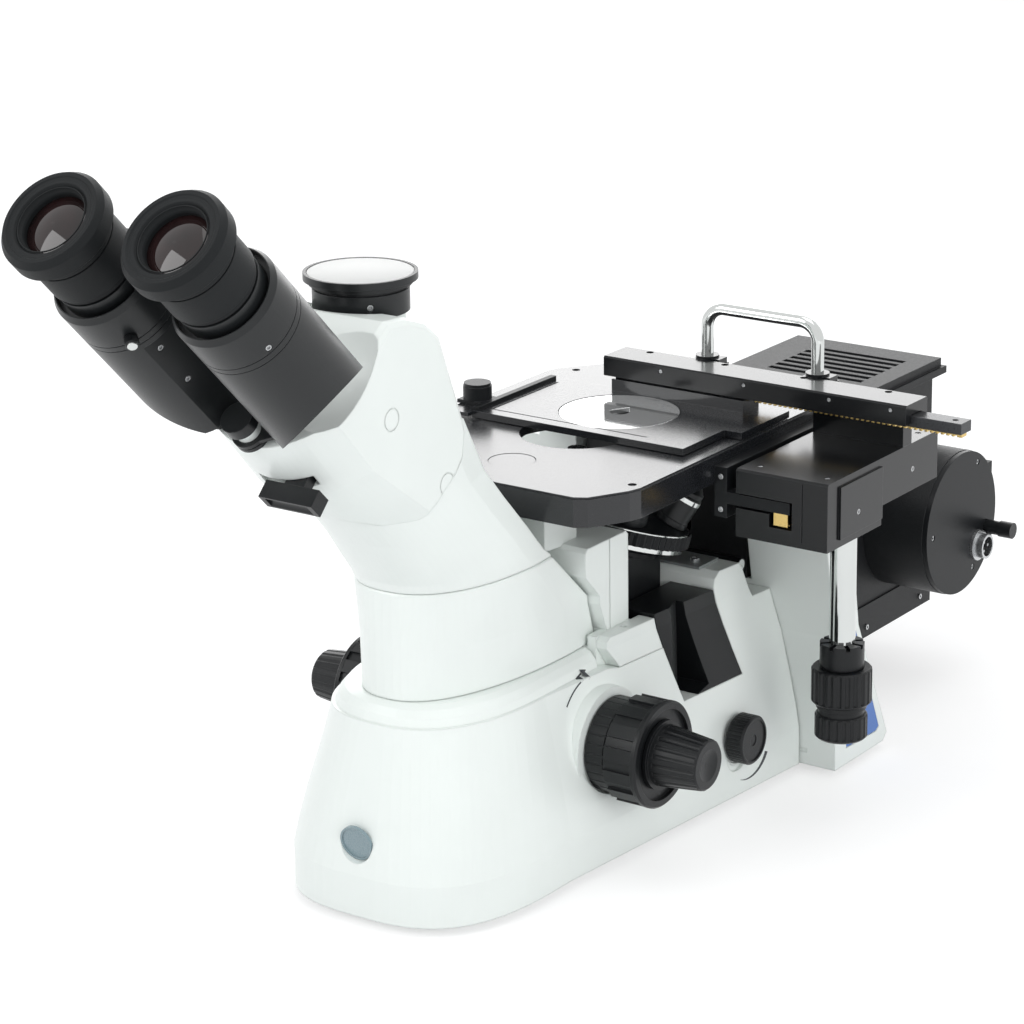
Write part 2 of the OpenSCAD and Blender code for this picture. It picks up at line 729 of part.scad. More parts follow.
// Frame around the rocker on the right and the inlet with its pins on the left
module power_fittings() color([0.11, 0.11, 0.12]) {
    difference() {
        slab([column_w - 14, rocker_y - 6.1, rocker_z - 9.1], [column_w + 1, rocker_y + 6.1, rocker_z + 9.1]);
        slab([column_w - 12, rocker_y - 4.5, rocker_z - 7.6], [column_w + 2, rocker_y + 4.5, rocker_z + 7.6]);
    }
    difference() {
        slab([-column_w - 1, 166.1, 24.1], [-column_w + 18, 187.9, 41.9]);
        slab([-column_w - 2, 169, 27], [-column_w + 12, 185, 39]);
    }
    for (p = [[173, 31], [177, 35.5], [181, 31]])
        slab([-column_w + 1, p[0] - 0.6, p[1] - 1.6], [-column_w + 13, p[0] + 0.6, p[1] + 1.6]);
}

module rubber_feet() color([0.13, 0.13, 0.14]) {
    both_sides() for (p = [[34, -96], [56, 60], [84, 180]])
        translate([p[0], p[1], 0]) cylinder(r1 = 9, r2 = 10, h = foot_h, $fn = 48);
    cylinder(r1 = 9, r2 = 10, h = foot_h, $fn = 48);
}

// Slotted plate under the base, and the small plate on the ledge behind the turret
module cover_plates() color([0.6, 0.62, 0.63]) {
    difference() {
        slab([-49.5, -79.5, foot_h], [49.5, 127.5, foot_h + 1.5]);
        for (i = [0:5]) slab([-20, 10 + i * 12, foot_h - cut], [20, 14 + i * 12, foot_h + 3]);
    }
    difference() {
        slab([18, 99.5, rim_z], [50, 118, rim_z + 1.4]);
        zrod(1.6, rim_z - cut, rim_z + 3, 42, 108, 24);
    }
}

module circuit_board() color([0.15, 0.4, 0.25]) {
    slab([-40, 30, foot_h + 9], [40, 112, foot_h + 10.6]);
    both_sides() for (y = [36, 106]) zrod(3, foot_h + 1.5, foot_h + 9, 35, y, 24);
    slab([-30, 44, foot_h + 10.6], [-6, 80, foot_h + 30]);
    zrod(8, foot_h + 10.6, foot_h + 34, 20, 60, 48);
}

// Rear housing of the illuminator between the column and the lamp house
module illuminator() color([0.12, 0.13, 0.14]) {
    back = lamp_front;
    difference() {
        union() {
            slab([-50, 146, window_z], [50, 160, 174]);
            side_prism([[150, 104], [172.3, 104], [176.2, 79.2], [183.6, 62.2], [back, 62.2], [back, 160],
                [150, 160]], -40, 40);
        }
        translate([0, 200, 128]) rotate([90, 0, 0]) cylinder(r = 16, h = 60, $fn = round_fn);
        slab([-34, 200, 68], [34, back + cut, 154]);
        xrod(3.6 + run, 15, 50, 128, 118, 32);
    }
}

// Aperture rod with a light end cap
module aperture_rod() color([0.2, 0.21, 0.22]) {
    xrod(3.6, 24, 58, 128, 118, 32);
}

// Fixed stage plate with cut corners and a deep recess for the turning objectives
module stage_plate() color([0.16, 0.17, 0.18]) {
    back = 183;
    outline = [
        [-60, -30], [60, -30], [66, -26.5], [stage_w - 2, -7], [stage_w, 0], [stage_w, back - 5],
        [stage_w - 5, back], [-58, back], [-stage_w + 2, 158], [-stage_w, 151], [-stage_w, 0],
        [-stage_w + 2, -7], [-66, -26.5]
    ];
    difference() {
        union() {
            translate([0, 0, stage_u]) linear_extrude(stage_t - 1) polygon(outline);
            translate([0, 0, stage_z - 1]) linear_extrude(1)
                polygon([for (p = outline) [p[0] * 0.99, 76 + (p[1] - 76) * 0.992]]);
        }
        zrod(opening_r, stage_u - cut, stage_z + cut, 0, axis_y, fine);
        zrod(56, stage_u - cut, stage_z - 5, 6, 72, fine);
        zrod(12, stage_z - 2, stage_z + cut, 0, 5);
        for (p = stage_holes) zrod(2.2, stage_z - 6, stage_z + cut, p[0], p[1], 24);
    }
}

// Fixed guide beside the stage plate, with a tongue that passes through the drive box
module guide_rail() color([0.15, 0.16, 0.17]) difference() {
    union() {
        slab([stage_w, rail_front, 165], [stage_w + rail_t, rail_back, 191]);
        slab([stage_w + rail_t - cut, rail_front, 172.5], [tongue_x, rail_back, 178.5]);
    }
    for (y = [rail_front, rail_back]) for (z = [169, 186]) translate([stage_w + rail_t / 2, y, z]) rotate([90, 0, 0])
        cylinder(r = 1.5, h = 8, center = true, $fn = 24);
}

module y_rack() color([0.8, 0.66, 0.3])
    rack([rack_x, rail_front, 166], [8, rail_back - rail_front, 6.5], [0, 1, 0]);

// Toothed bar that runs along Y or X, teeth facing down
module rack(at, size, dir) {
    pitch = 3;
    n = floor((dir[1] > 0 ? size[1] : size[0]) / pitch);
    translate(at) difference() {
        cube(size);
        for (i = [0:n - 1]) if (dir[1] > 0)
            translate([-cut, (i + 0.25) * pitch, -cut]) cube([size[0] + 2 * cut, pitch / 2, 1 + cut]);
        else
            translate([(i + 0.25) * pitch, -cut, -cut]) cube([pitch / 2, size[1] + 2 * cut, 1 + cut]);
    }
}

module drive_box() color([0.17, 0.18, 0.19]) {
    y0 = 66;
    y1 = 178;
    top = 192;
    low = 157;
    step_y = 120;
    edge = 1;
    difference() {
        union() {
            side_prism([[y0, low], [step_y, low], [step_y, 167], [y1, 167], [y1, top - edge],
                [y1 - edge, top], [y0 + edge, top], [y0, top - edge]], box_x0, box_x1);
            // Raised side cover
            side_prism([[77, 161], [119, 161], [119, 188], [77, 188]], box_x1 - cut, box_x1 + 1.2);
        }
        // Passage of the fixed guide and its rack
        slab([box_x0 - cut, y0 - cut, 171.6], [tongue_x + 2, y1 + cut, 179.4]);
        slab([rack_x - 2, y0 - cut, 165], [tongue_x + 2, y1 + cut, 173]);
        zrod(drive_tube_r + run, low - cut, low + 8, tube_x, tube_y);
        for (p = [[95, 171], [152, 178]]) xrod(1.6, box_x1 - 2, box_x1 + 2, p[0], p[1], 24);
        for (x = [box_x0 + 8, box_x1 - 6]) for (y = [76, 168]) zrod(1.6, top - 4, top + cut, x, y, 24);
        slab([tube_x - 1.5, y0 - cut, 160], [tube_x - 1, y0 + 0.6, 190]);
    }
}

// Screws of the stage plate, the camera port, the drum plate and the lamp house
module stand_screws() color([0.7, 0.7, 0.71]) {
    for (p = stage_holes) difference() {
        zrod(2.1, stage_z - 6, stage_z - 1, p[0], p[1], 24);
        zrod(1.1, stage_z - 3, stage_z, p[0], p[1], 6);
    }
    translate([0, port_y, 305.5]) rotate([0, 90, -41.6]) translate([0, 0, port_r - 2.2]) socket_screw(1.5, 2);
    for (p = drum_holes) translate([85.5, p[0], p[1]]) rotate([0, 90, 0]) socket_screw(1.5, 1.6);
    for (s = [-1, 1]) for (y = [280, 342]) translate([s * (lamp_w + 0.8), y, 36]) rotate([0, s * 90, 0])
        socket_screw(1.5, 1.6);
}

module guide_bar() color([0.17, 0.18, 0.19]) {
    x0 = -25;
    x1 = 154;
    edge = 0.8;
    holes = [-8, 38, 85, 134];
    difference() {
        union() {
            side_prism([[bar_y0, bar_z0], [bar_y1, bar_z0], [bar_y1, bar_z1 - edge], [bar_y1 - edge, bar_z1],
                [bar_y0 + edge, bar_z1], [bar_y0, bar_z1 - edge]], x0, x1);
            // Lugs under the handle
            for (x = handle_x) slab([x - 10, bar_y1 - cut, bar_z0], [x + 10, bar_y1 + 10, bar_z0 + 8]);
        }
        slab([x0 - cut, rail_y0 - gap, bar_z0 - cut], [x1 + cut, rail_y1 + gap, rail_z1 + gap]);
        for (x = holes) zrod(2, bar_z1 - 3, bar_z1 + cut, x, 143.4, 24);
        for (x = [10, 60, 110, 145]) translate([x, bar_y0 - cut, 215.5]) rotate([-90, 0, 0])
            cylinder(r = 1.2, h = 3, $fn = 24);
        for (x = handle_x) zrod(handle_d / 2 + run, bar_z0 + 2, bar_z1 + cut, x, handle_y, 48);
    }
    // Block that carries the bar on the drive box, behind the rail
    slab([box_x0, rail_y1 + gap, 192], [box_x1, 150, bar_z0]);
    // Collars around the feet of the handle
    for (x = handle_x) difference() {
        union() {
            zrod(6.2, bar_z0 + 8, bar_z0 + 12, x, handle_y, 48);
            slab([x + 3.6, handle_y - 4, bar_z0 + 8], [x + 9.5, handle_y + 4, bar_z0 + 11]);
        }
        zrod(handle_d / 2 + run, bar_z0, bar_z0 + 20, x, handle_y, 48);
    }
}

// Chrome grab handle bent from round bar
module handle() color([0.8, 0.81, 0.82]) {
    top = 246;
    bend = 10;
    r = handle_d / 2;
    x0 = handle_x[0];
    x1 = handle_x[1];
    for (x = [x0, x1]) zrod(r, bar_z0 + 2, top - bend, x, handle_y, 48);
    xrod(r, x0 + bend, x1 - bend, handle_y, top, 48);
    translate([x0 + bend, handle_y, top - bend]) rotate([90, 0, 0]) rotate([0, 0, 90])
        rotate_extrude(angle = 90, $fn = fine) translate([bend, 0]) circle(r = r, $fn = 48);
    translate([x1 - bend, handle_y, top - bend]) rotate([90, 0, 0])
        rotate_extrude(angle = 90, $fn = fine) translate([bend, 0]) circle(r = r, $fn = 48);
}

module x_rail() color([0.3, 0.31, 0.32]) difference() {
    slab([-21, rail_y0, rail_z0], [182, rail_y1, rail_z1]);
    zrod(1.6, rail_z0 + 2, rail_z1 + cut, 176, 135.5, 24);
}

module x_rack() color([0.8, 0.66, 0.3]) rack([62, 133, rail_z0 - 2.2], [119, 5, 2.2], [1, 0, 0]);

module specimen_plate() color([0.17, 0.18, 0.19]) {
    z0 = stage_z + gap;
    z1 = z0 + plate_t;
    outline = [[-60, 55], [68, 55], [68, 94], [78, 94], [78, 141], [-24, 141], [-24, 131], [-60, 131]];
    difference() {
        union() {
            translate([0, 0, z0]) linear_extrude(plate_t) polygon(outline);
            slab([-20, 125, z1], [60, rail_y1, rail_z0]);
            slab([-73, 50, z1 - 2], [-59, 84, z1]);
        }
        zrod(insert_r + 0.4, z0 + 0.8, z1 + cut, insert_at[0], insert_at[1], fine);
        zrod(insert_r - 3, z0 - cut, z1 + cut, insert_at[0], insert_at[1], fine);
        // Engraved frame line
        translate([0, 0, z1 - 0.5]) linear_extrude(2)
            polygon([[-53, 123], [-53, 62], [42, 62], [42, 63], [-52, 63], [-52, 123]]);
        zrod(1.5, z0 - cut, z1 + cut, -70, 54, 24);
    }
}

module stage_insert() color([0.93, 0.94, 0.94]) {
    z0 = stage_z + gap + 0.8;
    difference() {
        zrod(insert_r, z0, z0 + 2.6, insert_at[0], insert_at[1], fine);
        zrod(5, z0 - cut, z0 + 4, insert_at[0], insert_at[1], round_fn);
        translate([insert_at[0], insert_at[1], z0 - cut]) linear_extrude(5)
            polygon([[-4.33, 2.5], [4.33, 2.5], [0, 9.6]]);
    }
}

// Clip along the left edge of the specimen plate, with its round knob
module specimen_clip() color([0.14, 0.15, 0.16]) {
    z0 = stage_z + gap + plate_t;
    slab([-60, 56, z0], [-56.5, 127, z0 + 2]);
    slab([-75, 63, z0], [-59, 77, z0 + 2]);
    zrod(7.5, z0 + 2, z0 + 9, -67, 70, fine);
    zrod(7, z0 + 9, z0 + 10.5, -67, 70, fine);
}

module drive_tube() color([0.82, 0.83, 0.84]) zrod(drive_tube_r, 97, 165, tube_x, tube_y, fine);

module drive_collar() color([0.14, 0.14, 0.15]) {
    difference() {
        union() {
            zrod(11.3, 84.5, 97, tube_x, tube_y, fine);
            zrod(4, 45, 85, tube_x, tube_y);
            zrod(6, 44, 46, tube_x, tube_y);
        }
        for (a = [0:45:135]) translate([tube_x, tube_y, 95.2]) rotate([0, 0, a])
            translate([0, 0, 2]) cube([30, 2.2, 4], center = true);
    }
}

// Round grip with flutes, its bore on the Z axis
module fluted(r, h, n, depth, bore) difference() {
    union() {
        cylinder(r1 = r - 1, r2 = r, h = 1, $fn = fine);
        translate([0, 0, 1]) cylinder(r = r, h = h - 2, $fn = fine);
        translate([0, 0, h - 1]) cylinder(r1 = r, r2 = r - 1, h = 1, $fn = fine);
    }
    for (i = [0:n - 1]) rotate([0, 0, i * 360 / n]) translate([r + depth * 1.1, 0, 1.6])
        cylinder(r = depth * 2, h = h, $fn = 16);
    translate([0, 0, -cut]) cylinder(r = bore, h = h + 2 * cut, $fn = round_fn);
}

module upper_knob() color([0.13, 0.14, 0.15]) translate([tube_x, tube_y, 0]) {
    translate([0, 0, 65.2]) fluted(upper_knob_r, 18.8, 22, 0.8, 4 + run);
    translate([0, 0, 62.4]) difference() {
        cylinder(r = upper_knob_r - 2.6, h = 3, $fn = fine);
        translate([0, 0, -cut]) cylinder(r = 4 + run, h = 6, $fn = round_fn);
    }
}

module lower_knob() color([0.13, 0.14, 0.15]) translate([tube_x, tube_y, 0]) difference() {
    union() {
        translate([0, 0, 46.4]) fluted(lower_knob_r, 13, 20, 0.7, 4 + run);
        translate([0, 0, 59]) difference() {
            cylinder(r = lower_knob_r - 1.6, h = 3, $fn = fine);
            translate([0, 0, -cut]) cylinder(r = 4 + run, h = 6, $fn = round_fn);
        }
    }
}

// Frame of the turret: origin in the middle of the knurled ring, Z along the turret axis
module turret_frame() {
    translate([turret_x, turret_y, turret_z]) rotate([0, 0, turret_turn]) rotate([0, turret_tilt, 0]) children();
}

// Frame of one objective seat, Z along the objective
module seat_frame(i) {
    turret_frame() rotate([0, 0, 180 + i * 360 / n_objectives]) translate([pitch_r, 0, seat_z])
        rotate([0, turret_tilt, 0]) children();
}

module turret_body() color([0.13, 0.14, 0.15]) difference() {
    turret_frame() rotate_extrude($fn = fine) polygon([
        [6 + run, -8], [33, -8], [35, -6], [35, 3.6], [37.2, 4.2], [14, 11.4], [12, 13], [6 + run, 13]
    ]);
    for (i = [0:n_objectives - 1]) seat_frame(i) translate([0, 0, -6]) cylinder(r = 7, h = 12, $fn = 32);
}

module turret_ring() color([0.12, 0.13, 0.14]) turret_frame() translate([0, 0, -3.5]) difference() {
    linear_extrude(7) polygon([for (i = [0:119]) (turret_r - (i % 2) * 1.1) * [cos(i * 3), sin(i * 3)]]);
    translate([0, 0, -cut]) cylinder(r = 35, h = 10, $fn = fine);
}

// Bright bands above and below the knurled ring, and one ring on each objective
module turret_trim() color([0.8, 0.8, 0.8]) {
    turret_bands();
    for (i = [0:n_objectives - 1]) seat_frame(i) translate([0, 0, objective_len[i] - 11]) difference() {
        cylinder(r = 9.3, h = 2.4, $fn = round_fn);
        translate([0, 0, -cut]) cylinder(r = 8.8, h = 5, $fn = round_fn);
    }
}

module turret_bands() turret_frame() {
    difference() {
        translate([0, 0, 3.5]) cylinder(r = turret_r - 0.8, h = 0.7, $fn = fine);
        translate([0, 0, 3]) cylinder(r = 37.3, h = 3, $fn = fine);
        translate([0, 0, 3]) cylinder(r = 35, h = 3, $fn = fine);
    }
    difference() {
        translate([0, 0, -6]) cylinder(r = turret_r - 2.2, h = 2.5, $fn = fine);
        translate([0, 0, -7]) cylinder(r = 35, h = 5, $fn = fine);
    }
}

module objectives() color([0.2, 0.21, 0.22]) for (i = [0:n_objectives - 1]) seat_frame(i) {
    len = objective_len[i];
    rotate_extrude($fn = round_fn) polygon([
        [0, -6], [6.9, -6], [6.9, 0], [9.2, 0], [9.2, 3], [8.8, 3.4], [8.8, len - 8], [8.2, len - 7.4],
        [8.2, len - 5], [4.5, len - 0.6], [4.5, len], [2.4, len], [2.4, len - 1.5], [0, len - 1.5]
    ]);
}

// Slide that lifts the turret: a hollow block in the pocket with a tilted head
module nosepiece_carrier() color([0.13, 0.14, 0.15]) difference() {
    union() {
        intersection() {
            slab([-31, 50, 66], [31, 92, 150]);
            turret_frame() translate([-80, -80, -100]) cube([160, 160, 88]);
        }
        turret_frame() translate([0, 0, -12.6]) cylinder(r = 24, h = 4, $fn = fine);
        turret_frame() translate([0, 0, -14]) cylinder(r = 6, h = 24, $fn = round_fn);
        slab([-18, 46, 66], [-6 - gap, 51, 118]);
        slab([6 + gap, 46, 66], [18, 51, 118]);
    }
    slab([-17, 45, 65], [17, 82, 110]);
    zrod(9, 100, 150, 0, axis_y, 48);
}

module relay_optics() color([0.8, 0.83, 0.86]) {
    translate([0, 14, beam_z]) rotate([90, 0, 0]) cylinder(r = beam_r + 1.9, h = 5, $fn = 48);
    translate([0, axis_y, beam_z - 4]) rotate([45, 0, 0]) cube([22, 1.6, 26], center = true);
    translate([0, fold_y - 1, beam_z - 2]) rotate([-25, 0, 0]) cube([20, 1.2, 16], center = true);
}

module tension_ring() color([0.13, 0.14, 0.15]) {
    translate([focus_pad_x + gap, 0, focus_z]) rotate([0, 90, 0])
        fluted(tension_r, coarse_x - 19.4 - focus_pad_x - 2 * gap, 30, 0.35, coarse_shaft_r + 0.5);
}

// Coarse knob on the right, grip ribs between long flats and a dished outer face
module coarse_grip() {
    h = 19;
    n = 14;
    rotate([0, 90, 0]) difference() {
        union() {
            cylinder(r = coarse_r - 1.4, h = h, $fn = fine);
            translate([0, 0, h - 3]) cylinder(r = coarse_r, h = 2, $fn = fine);
            translate([0, 0, h - 1]) cylinder(r1 = coarse_r, r2 = coarse_r - 1, h = 1, $fn = fine);
            for (i = [0:n - 1]) rotate([0, 0, i * 360 / n]) translate([coarse_r - 3, -3.4, 0.6])
                cube([2.8, 6.8, h - 3]);
        }
        translate([0, 0, h - 2.2]) cylinder(r = coarse_r - 4, h = 5, $fn = fine);
        translate([0, 0, -cut]) cylinder(r = coarse_shaft_r - 0.5, h = h + 2, $fn = round_fn);
    }
}

module coarse_knobs() color([0.12, 0.13, 0.14]) {
    both_sides() translate([coarse_x - 19, 0, focus_z]) coarse_grip();
    difference() {
        xrod(coarse_shaft_r, -coarse_x + 3, coarse_x - 3, 0, focus_z);
        xrod(fine_shaft_r + run, -100, 100, 0, focus_z);
    }
}

module fine_knobs() color([0.14, 0.15, 0.16]) {
    h = fine_x - coarse_x - gap + 2;
    n = 20;
    both_sides() translate([fine_x - h, 0, focus_z]) rotate([0, 90, 0]) difference() {
        union() {
            translate([0, 0, 0]) cylinder(r = fine_r + 2, h = 2, $fn = fine);
            translate([0, 0, 2]) cylinder(r1 = fine_r, r2 = fine_r - 2.6, h = h - 3, $fn = fine);
            translate([0, 0, h - 1]) cylinder(r1 = fine_r - 2.6, r2 = fine_r - 3.6, h = 1, $fn = fine);
        }
        for (i = [0:n - 1]) rotate([0, 0, i * 360 / n]) translate([fine_r + 0.6, 0, 4]) rotate([0, -5.5, 0])
            cylinder(r = 1.5, h = h, $fn = 16);
        translate([0, 0, h + 20]) sphere(r = 21.6, $fn = round_fn);
    }
    xrod(fine_shaft_r, -fine_x + h - cut, fine_x - h + cut, 0, focus_z);
}

module brightness_dial() color([0.13, 0.14, 0.15]) {
    x0 = skirt_half(36, 98) + gap;
    xrod(3.5, 64, x0 + 2, 98, 36, 32);
    difference() {
        translate([x0, 98, 36]) rotate([0, 90, 0]) fluted(13, 10.5, 40, 0.3, 3);
        xrod(11, x0 + 9.8, x0 + 14, 98, 36, fine);
    }
    xrod(4, x0 + 0.4, x0 + 9.4, 98, 36, 32);
}

module lamp_body() color([0.15, 0.16, 0.17]) {
    t = 3;
    difference() {
        union() {
            slab([-lamp_w, lamp_front, 30], [lamp_w, lamp_back, 164]);
            slab([-lamp_w - 1, lamp_front, 30], [lamp_w + 1, lamp_back + 1, 49]);
        }
        slab([-lamp_w + t, lamp_front + t, 33], [lamp_w - t, lamp_back - t, 165]);
        translate([0, lamp_front + 5, 128]) rotate([90, 0, 0]) cylinder(r = 16, h = 10, $fn = round_fn);
        both_sides() for (y = [280, 342]) xrod(1.6, lamp_w - 1, lamp_w + 2, y, 36, 24);
    }
}

module lamp_cover() color([0.17, 0.18, 0.19]) {
    rows = 7;
    difference() {
        union() {
            slab([-lamp_w - 2, lamp_front, 164], [lamp_w + 2, lamp_back + 13, 168]);
            slab([-lamp_w, lamp_front, 168], [lamp_w, lamp_back + 10, 173]);
            slab([-24, lamp_back + 0.2, 140], [40, lamp_back + 13, 164]);
        }
        for (i = [0:rows - 1]) slab([-26, 294 + i * 8, 163], [34, 298.5 + i * 8, 174]);
        slab([-30, lamp_front + 8, 163], [38, 352, 170]);
        slab([-20, lamp_back - 5, 144], [36, lamp_back + 9, 162]);
    }
}

// Lamp in its ceramic holder
module halogen_lamp() color([0.88, 0.87, 0.83]) {
    slab([-12, 298, 92], [12, 314, 110]);
    slab([-16, 290, 33], [16, 322, 92]);
    zrod(6, 120, 140, 0, 306, 32);
    zrod(4, 110, 120, 0, 306, 32);
}

module side_drum() color([0.14, 0.15, 0.16]) difference() {
    union() {
        xrod(drum_r, lamp_w, 84, 317, 94, fine);
        slab([lamp_w, 345, 62], [82, 362, 118]);
    }
    xrod(drum_r - 3, lamp_w + 4, 85, 317, 94, fine);
    slab([lamp_w + 4, 348, 66], [90, 358, 114]);
}

module drum_plate() color([0.16, 0.17, 0.18]) difference() {
    xrod(drum_r - 0.3, 84, 87, 317, 94, fine);
    for (p = drum_holes) xrod(1.7, 83, 88, p[0], p[1], 24);
    xrod(8 + run, 83, 88, 336, 76, 48);
    xrod(4 + run, 83, 88, 347, 84, 32);
}

module lamp_connector() color([0.82, 0.82, 0.83]) {
    difference() {
        union() {
            xrod(8, 80, 87, 336, 76, 48);
            xrod(8.8, 87, 89, 336, 76, 48);
            xrod(7, 89, 94, 336, 76, 48);
        }
        xrod(5.6, 88, 95, 336, 76, 48);
    }
    for (a = [0:120:240]) xrod(0.8, 87, 92.5, 336 + 3 * cos(a), 76 + 3 * sin(a), 16);
}

module centring_rod() color([0.13, 0.13, 0.14]) {
    xrod(4, 66, 103, 347, 84, 32);
    xrod(4.6, 96, 104, 347, 84, 32);
}

base_casting();
side_covers();
neck_casting();
arm_casting();
head_casting();
badge();
rear_column();
side_panels();
rubber_feet();
cover_plates();
circuit_board();
power_fittings();
power_rocker();
recess_liner();
stage_riser();
stage_plate();
stand_screws();
guide_rail();
y_rack();
illuminator();
aperture_rod();
lamp_body();
lamp_cover();
halogen_lamp();
side_drum();
drum_plate();
lamp_connector();
centring_rod();
path_slider();
pivot_hub();
housing_right();
housing_left();
eyepiece_right();
eyepiece_left();
lens_right();
lens_left();
port_collar();
port_cap();
drive_box();
guide_bar();
handle();
x_rail();
x_rack();
specimen_plate();
stage_insert();
specimen_clip();
drive_tube();
drive_collar();
upper_knob();
lower_knob();
nosepiece_carrier();
turret_body();
turret_ring();
turret_trim();
objectives();
relay_optics();
tension_ring();
coarse_knobs();
fine_knobs();
brightness_dial();
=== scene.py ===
from collections import namedtuple
import json
import math

import bmesh
import bpy
from mathutils import Matrix, Vector
from mathutils.bvhtree import BVHTree


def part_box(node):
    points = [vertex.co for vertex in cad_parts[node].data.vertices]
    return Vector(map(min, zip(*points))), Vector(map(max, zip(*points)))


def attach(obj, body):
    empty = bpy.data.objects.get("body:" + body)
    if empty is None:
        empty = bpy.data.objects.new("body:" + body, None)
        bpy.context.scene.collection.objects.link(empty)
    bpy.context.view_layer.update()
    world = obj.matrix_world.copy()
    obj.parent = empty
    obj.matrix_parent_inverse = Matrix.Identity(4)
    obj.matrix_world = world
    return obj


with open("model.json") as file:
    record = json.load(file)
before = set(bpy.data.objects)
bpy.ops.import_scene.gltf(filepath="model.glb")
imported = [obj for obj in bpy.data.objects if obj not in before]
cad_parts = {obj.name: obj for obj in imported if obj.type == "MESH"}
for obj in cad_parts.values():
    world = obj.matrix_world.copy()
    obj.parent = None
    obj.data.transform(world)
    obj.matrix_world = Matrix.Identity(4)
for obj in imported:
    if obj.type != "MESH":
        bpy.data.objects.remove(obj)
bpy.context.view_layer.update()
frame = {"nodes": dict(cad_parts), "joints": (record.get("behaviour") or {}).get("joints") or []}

# The frame is in metres; sizes of small pieces are written in millimetres and multiplied by MM
MM = 0.001
TURN = 2 * math.pi
UP = (0.0, 0.0, 1.0)
FRONT = (0.0, -1.0, 0.0)
RIGHT = (1.0, 0.0, 0.0)


# Camera

AZIMUTH = math.radians(35.15)
PITCH = math.radians(16.9)
ROLL = math.radians(-0.8)
FOCAL_PX = 3440.0
FRAME_PX = 1024.0
CENTRE_ROW_PX = 455.0
SENSOR = 36.0
CAMERA_AT = (0.934, -1.3214, 0.6925)
NEAR = 0.05
FAR = 60.0


def make_camera():
    ahead = Vector((-math.sin(AZIMUTH) * math.cos(PITCH), math.cos(AZIMUTH) * math.cos(PITCH),
                    -math.sin(PITCH)))
    level_right = Vector((math.cos(AZIMUTH), math.sin(AZIMUTH), 0.0))
    level_up = level_right.cross(ahead)
    right = level_right * math.cos(ROLL) + level_up * math.sin(ROLL)
    up = level_up * math.cos(ROLL) - level_right * math.sin(ROLL)
    data = bpy.data.cameras.new("view")
    data.sensor_width = SENSOR
    data.lens = FOCAL_PX / FRAME_PX * SENSOR
    data.shift_y = (CENTRE_ROW_PX - FRAME_PX / 2) / FRAME_PX
    data.clip_start = NEAR
    data.clip_end = FAR
    camera = bpy.data.objects.new("view", data)
    turn = Matrix((right, up, -ahead)).transposed().to_4x4()
    camera.matrix_world = Matrix.Translation(CAMERA_AT) @ turn
    bpy.context.scene.collection.objects.link(camera)
    bpy.context.scene.camera = camera


# Shader helpers

# Noise scales: broad patches of colour, patches of wear, tint and smears of a lens
BROAD = 28.0
WEAR = 260.0
TINT = 60.0
SMEAR = 400.0
# Middle part of a noise that is stretched over the whole range
NOISE_RANGE = (0.3, 0.7)
# Cosine between the rounded and the true normal: where wear starts, and where it is full
WEAR_RANGE = (0.985, 0.86)
# Share of the wear that is left between its patches
LEAST_WEAR = 0.35
# Height of the grain, and samples of the rounded edge
GRAIN_DEPTH = 0.0004
EDGE_SAMPLES = 4


def rgba(colour):
    return (*colour, 1.0)


def add(tree, kind, values):
    """New shader node with the values of the named sockets."""
    node = tree.nodes.new(kind)
    put(node, values)
    return node


def put(node, values):
    for socket, value in values.items():
        node.inputs[socket].default_value = value


def link(tree, source, output, target, socket):
    tree.links.new(source.outputs[output], target.inputs[socket])


def shader(name):
    mat = bpy.data.materials.new(name)
    mat.use_nodes = True
    tree = mat.node_tree
    return mat, tree, tree.nodes["Principled BSDF"]


def noise(tree, scale, detail=3.0, rough=0.5, stretch=None):
    coord = tree.nodes.new("ShaderNodeTexCoord")
    tex = add(tree, "ShaderNodeTexNoise", {"Scale": scale, "Detail": detail, "Roughness": rough})
    if stretch:
        mapping = add(tree, "ShaderNodeMapping", {"Scale": stretch})
        link(tree, coord, "Object", mapping, "Vector")
        link(tree, mapping, "Vector", tex, "Vector")
    else:
        link(tree, coord, "Object", tex, "Vector")
    return tex


def spread(tree, source, low, high):
    """A noise brought to the range from low to high."""
    node = add(tree, "ShaderNodeMapRange", {"From Min": NOISE_RANGE[0], "From Max": NOISE_RANGE[1],
                                            "To Min": low, "To Max": high})
    link(tree, source, 0, node, "Value")
    return node


def colour_mix(tree):
    node = tree.nodes.new("ShaderNodeMix")
    node.data_type = "RGBA"
    return node


def mottled(tree, low, high, patches):
    """Colour between low and high in soft patches."""
    mix = colour_mix(tree)
    put(mix, {"A": rgba(low), "B": rgba(high)})
    link(tree, spread(tree, patches, 0.0, 1.0), "Result", mix, "Factor")
    return mix


def worn(tree, colour, rounded, amount, bare):
    """Colour with the bare tone showing in patches where edges are rounded off."""
    true_normal = tree.nodes.new("ShaderNodeNewGeometry")
    bend = tree.nodes.new("ShaderNodeVectorMath")
    bend.operation = "DOT_PRODUCT"
    link(tree, true_normal, "Normal", bend, 0)
    link(tree, rounded, "Normal", bend, 1)
    wear = add(tree, "ShaderNodeMapRange", {"From Min": WEAR_RANGE[0], "From Max": WEAR_RANGE[1],
                                            "To Max": amount})
    link(tree, bend, "Value", wear, "Value")
    patchy = tree.nodes.new("ShaderNodeMath")
    patchy.operation = "MULTIPLY"
    link(tree, wear, "Result", patchy, 0)
    link(tree, spread(tree, noise(tree, WEAR, detail=5.0), LEAST_WEAR, 1.0), "Result", patchy, 1)
    mix = colour_mix(tree)
    put(mix, {"B": rgba(bare)})
    link(tree, patchy, "Value", mix, "Factor")
    link(tree, colour, "Result", mix, "A")
    return mix


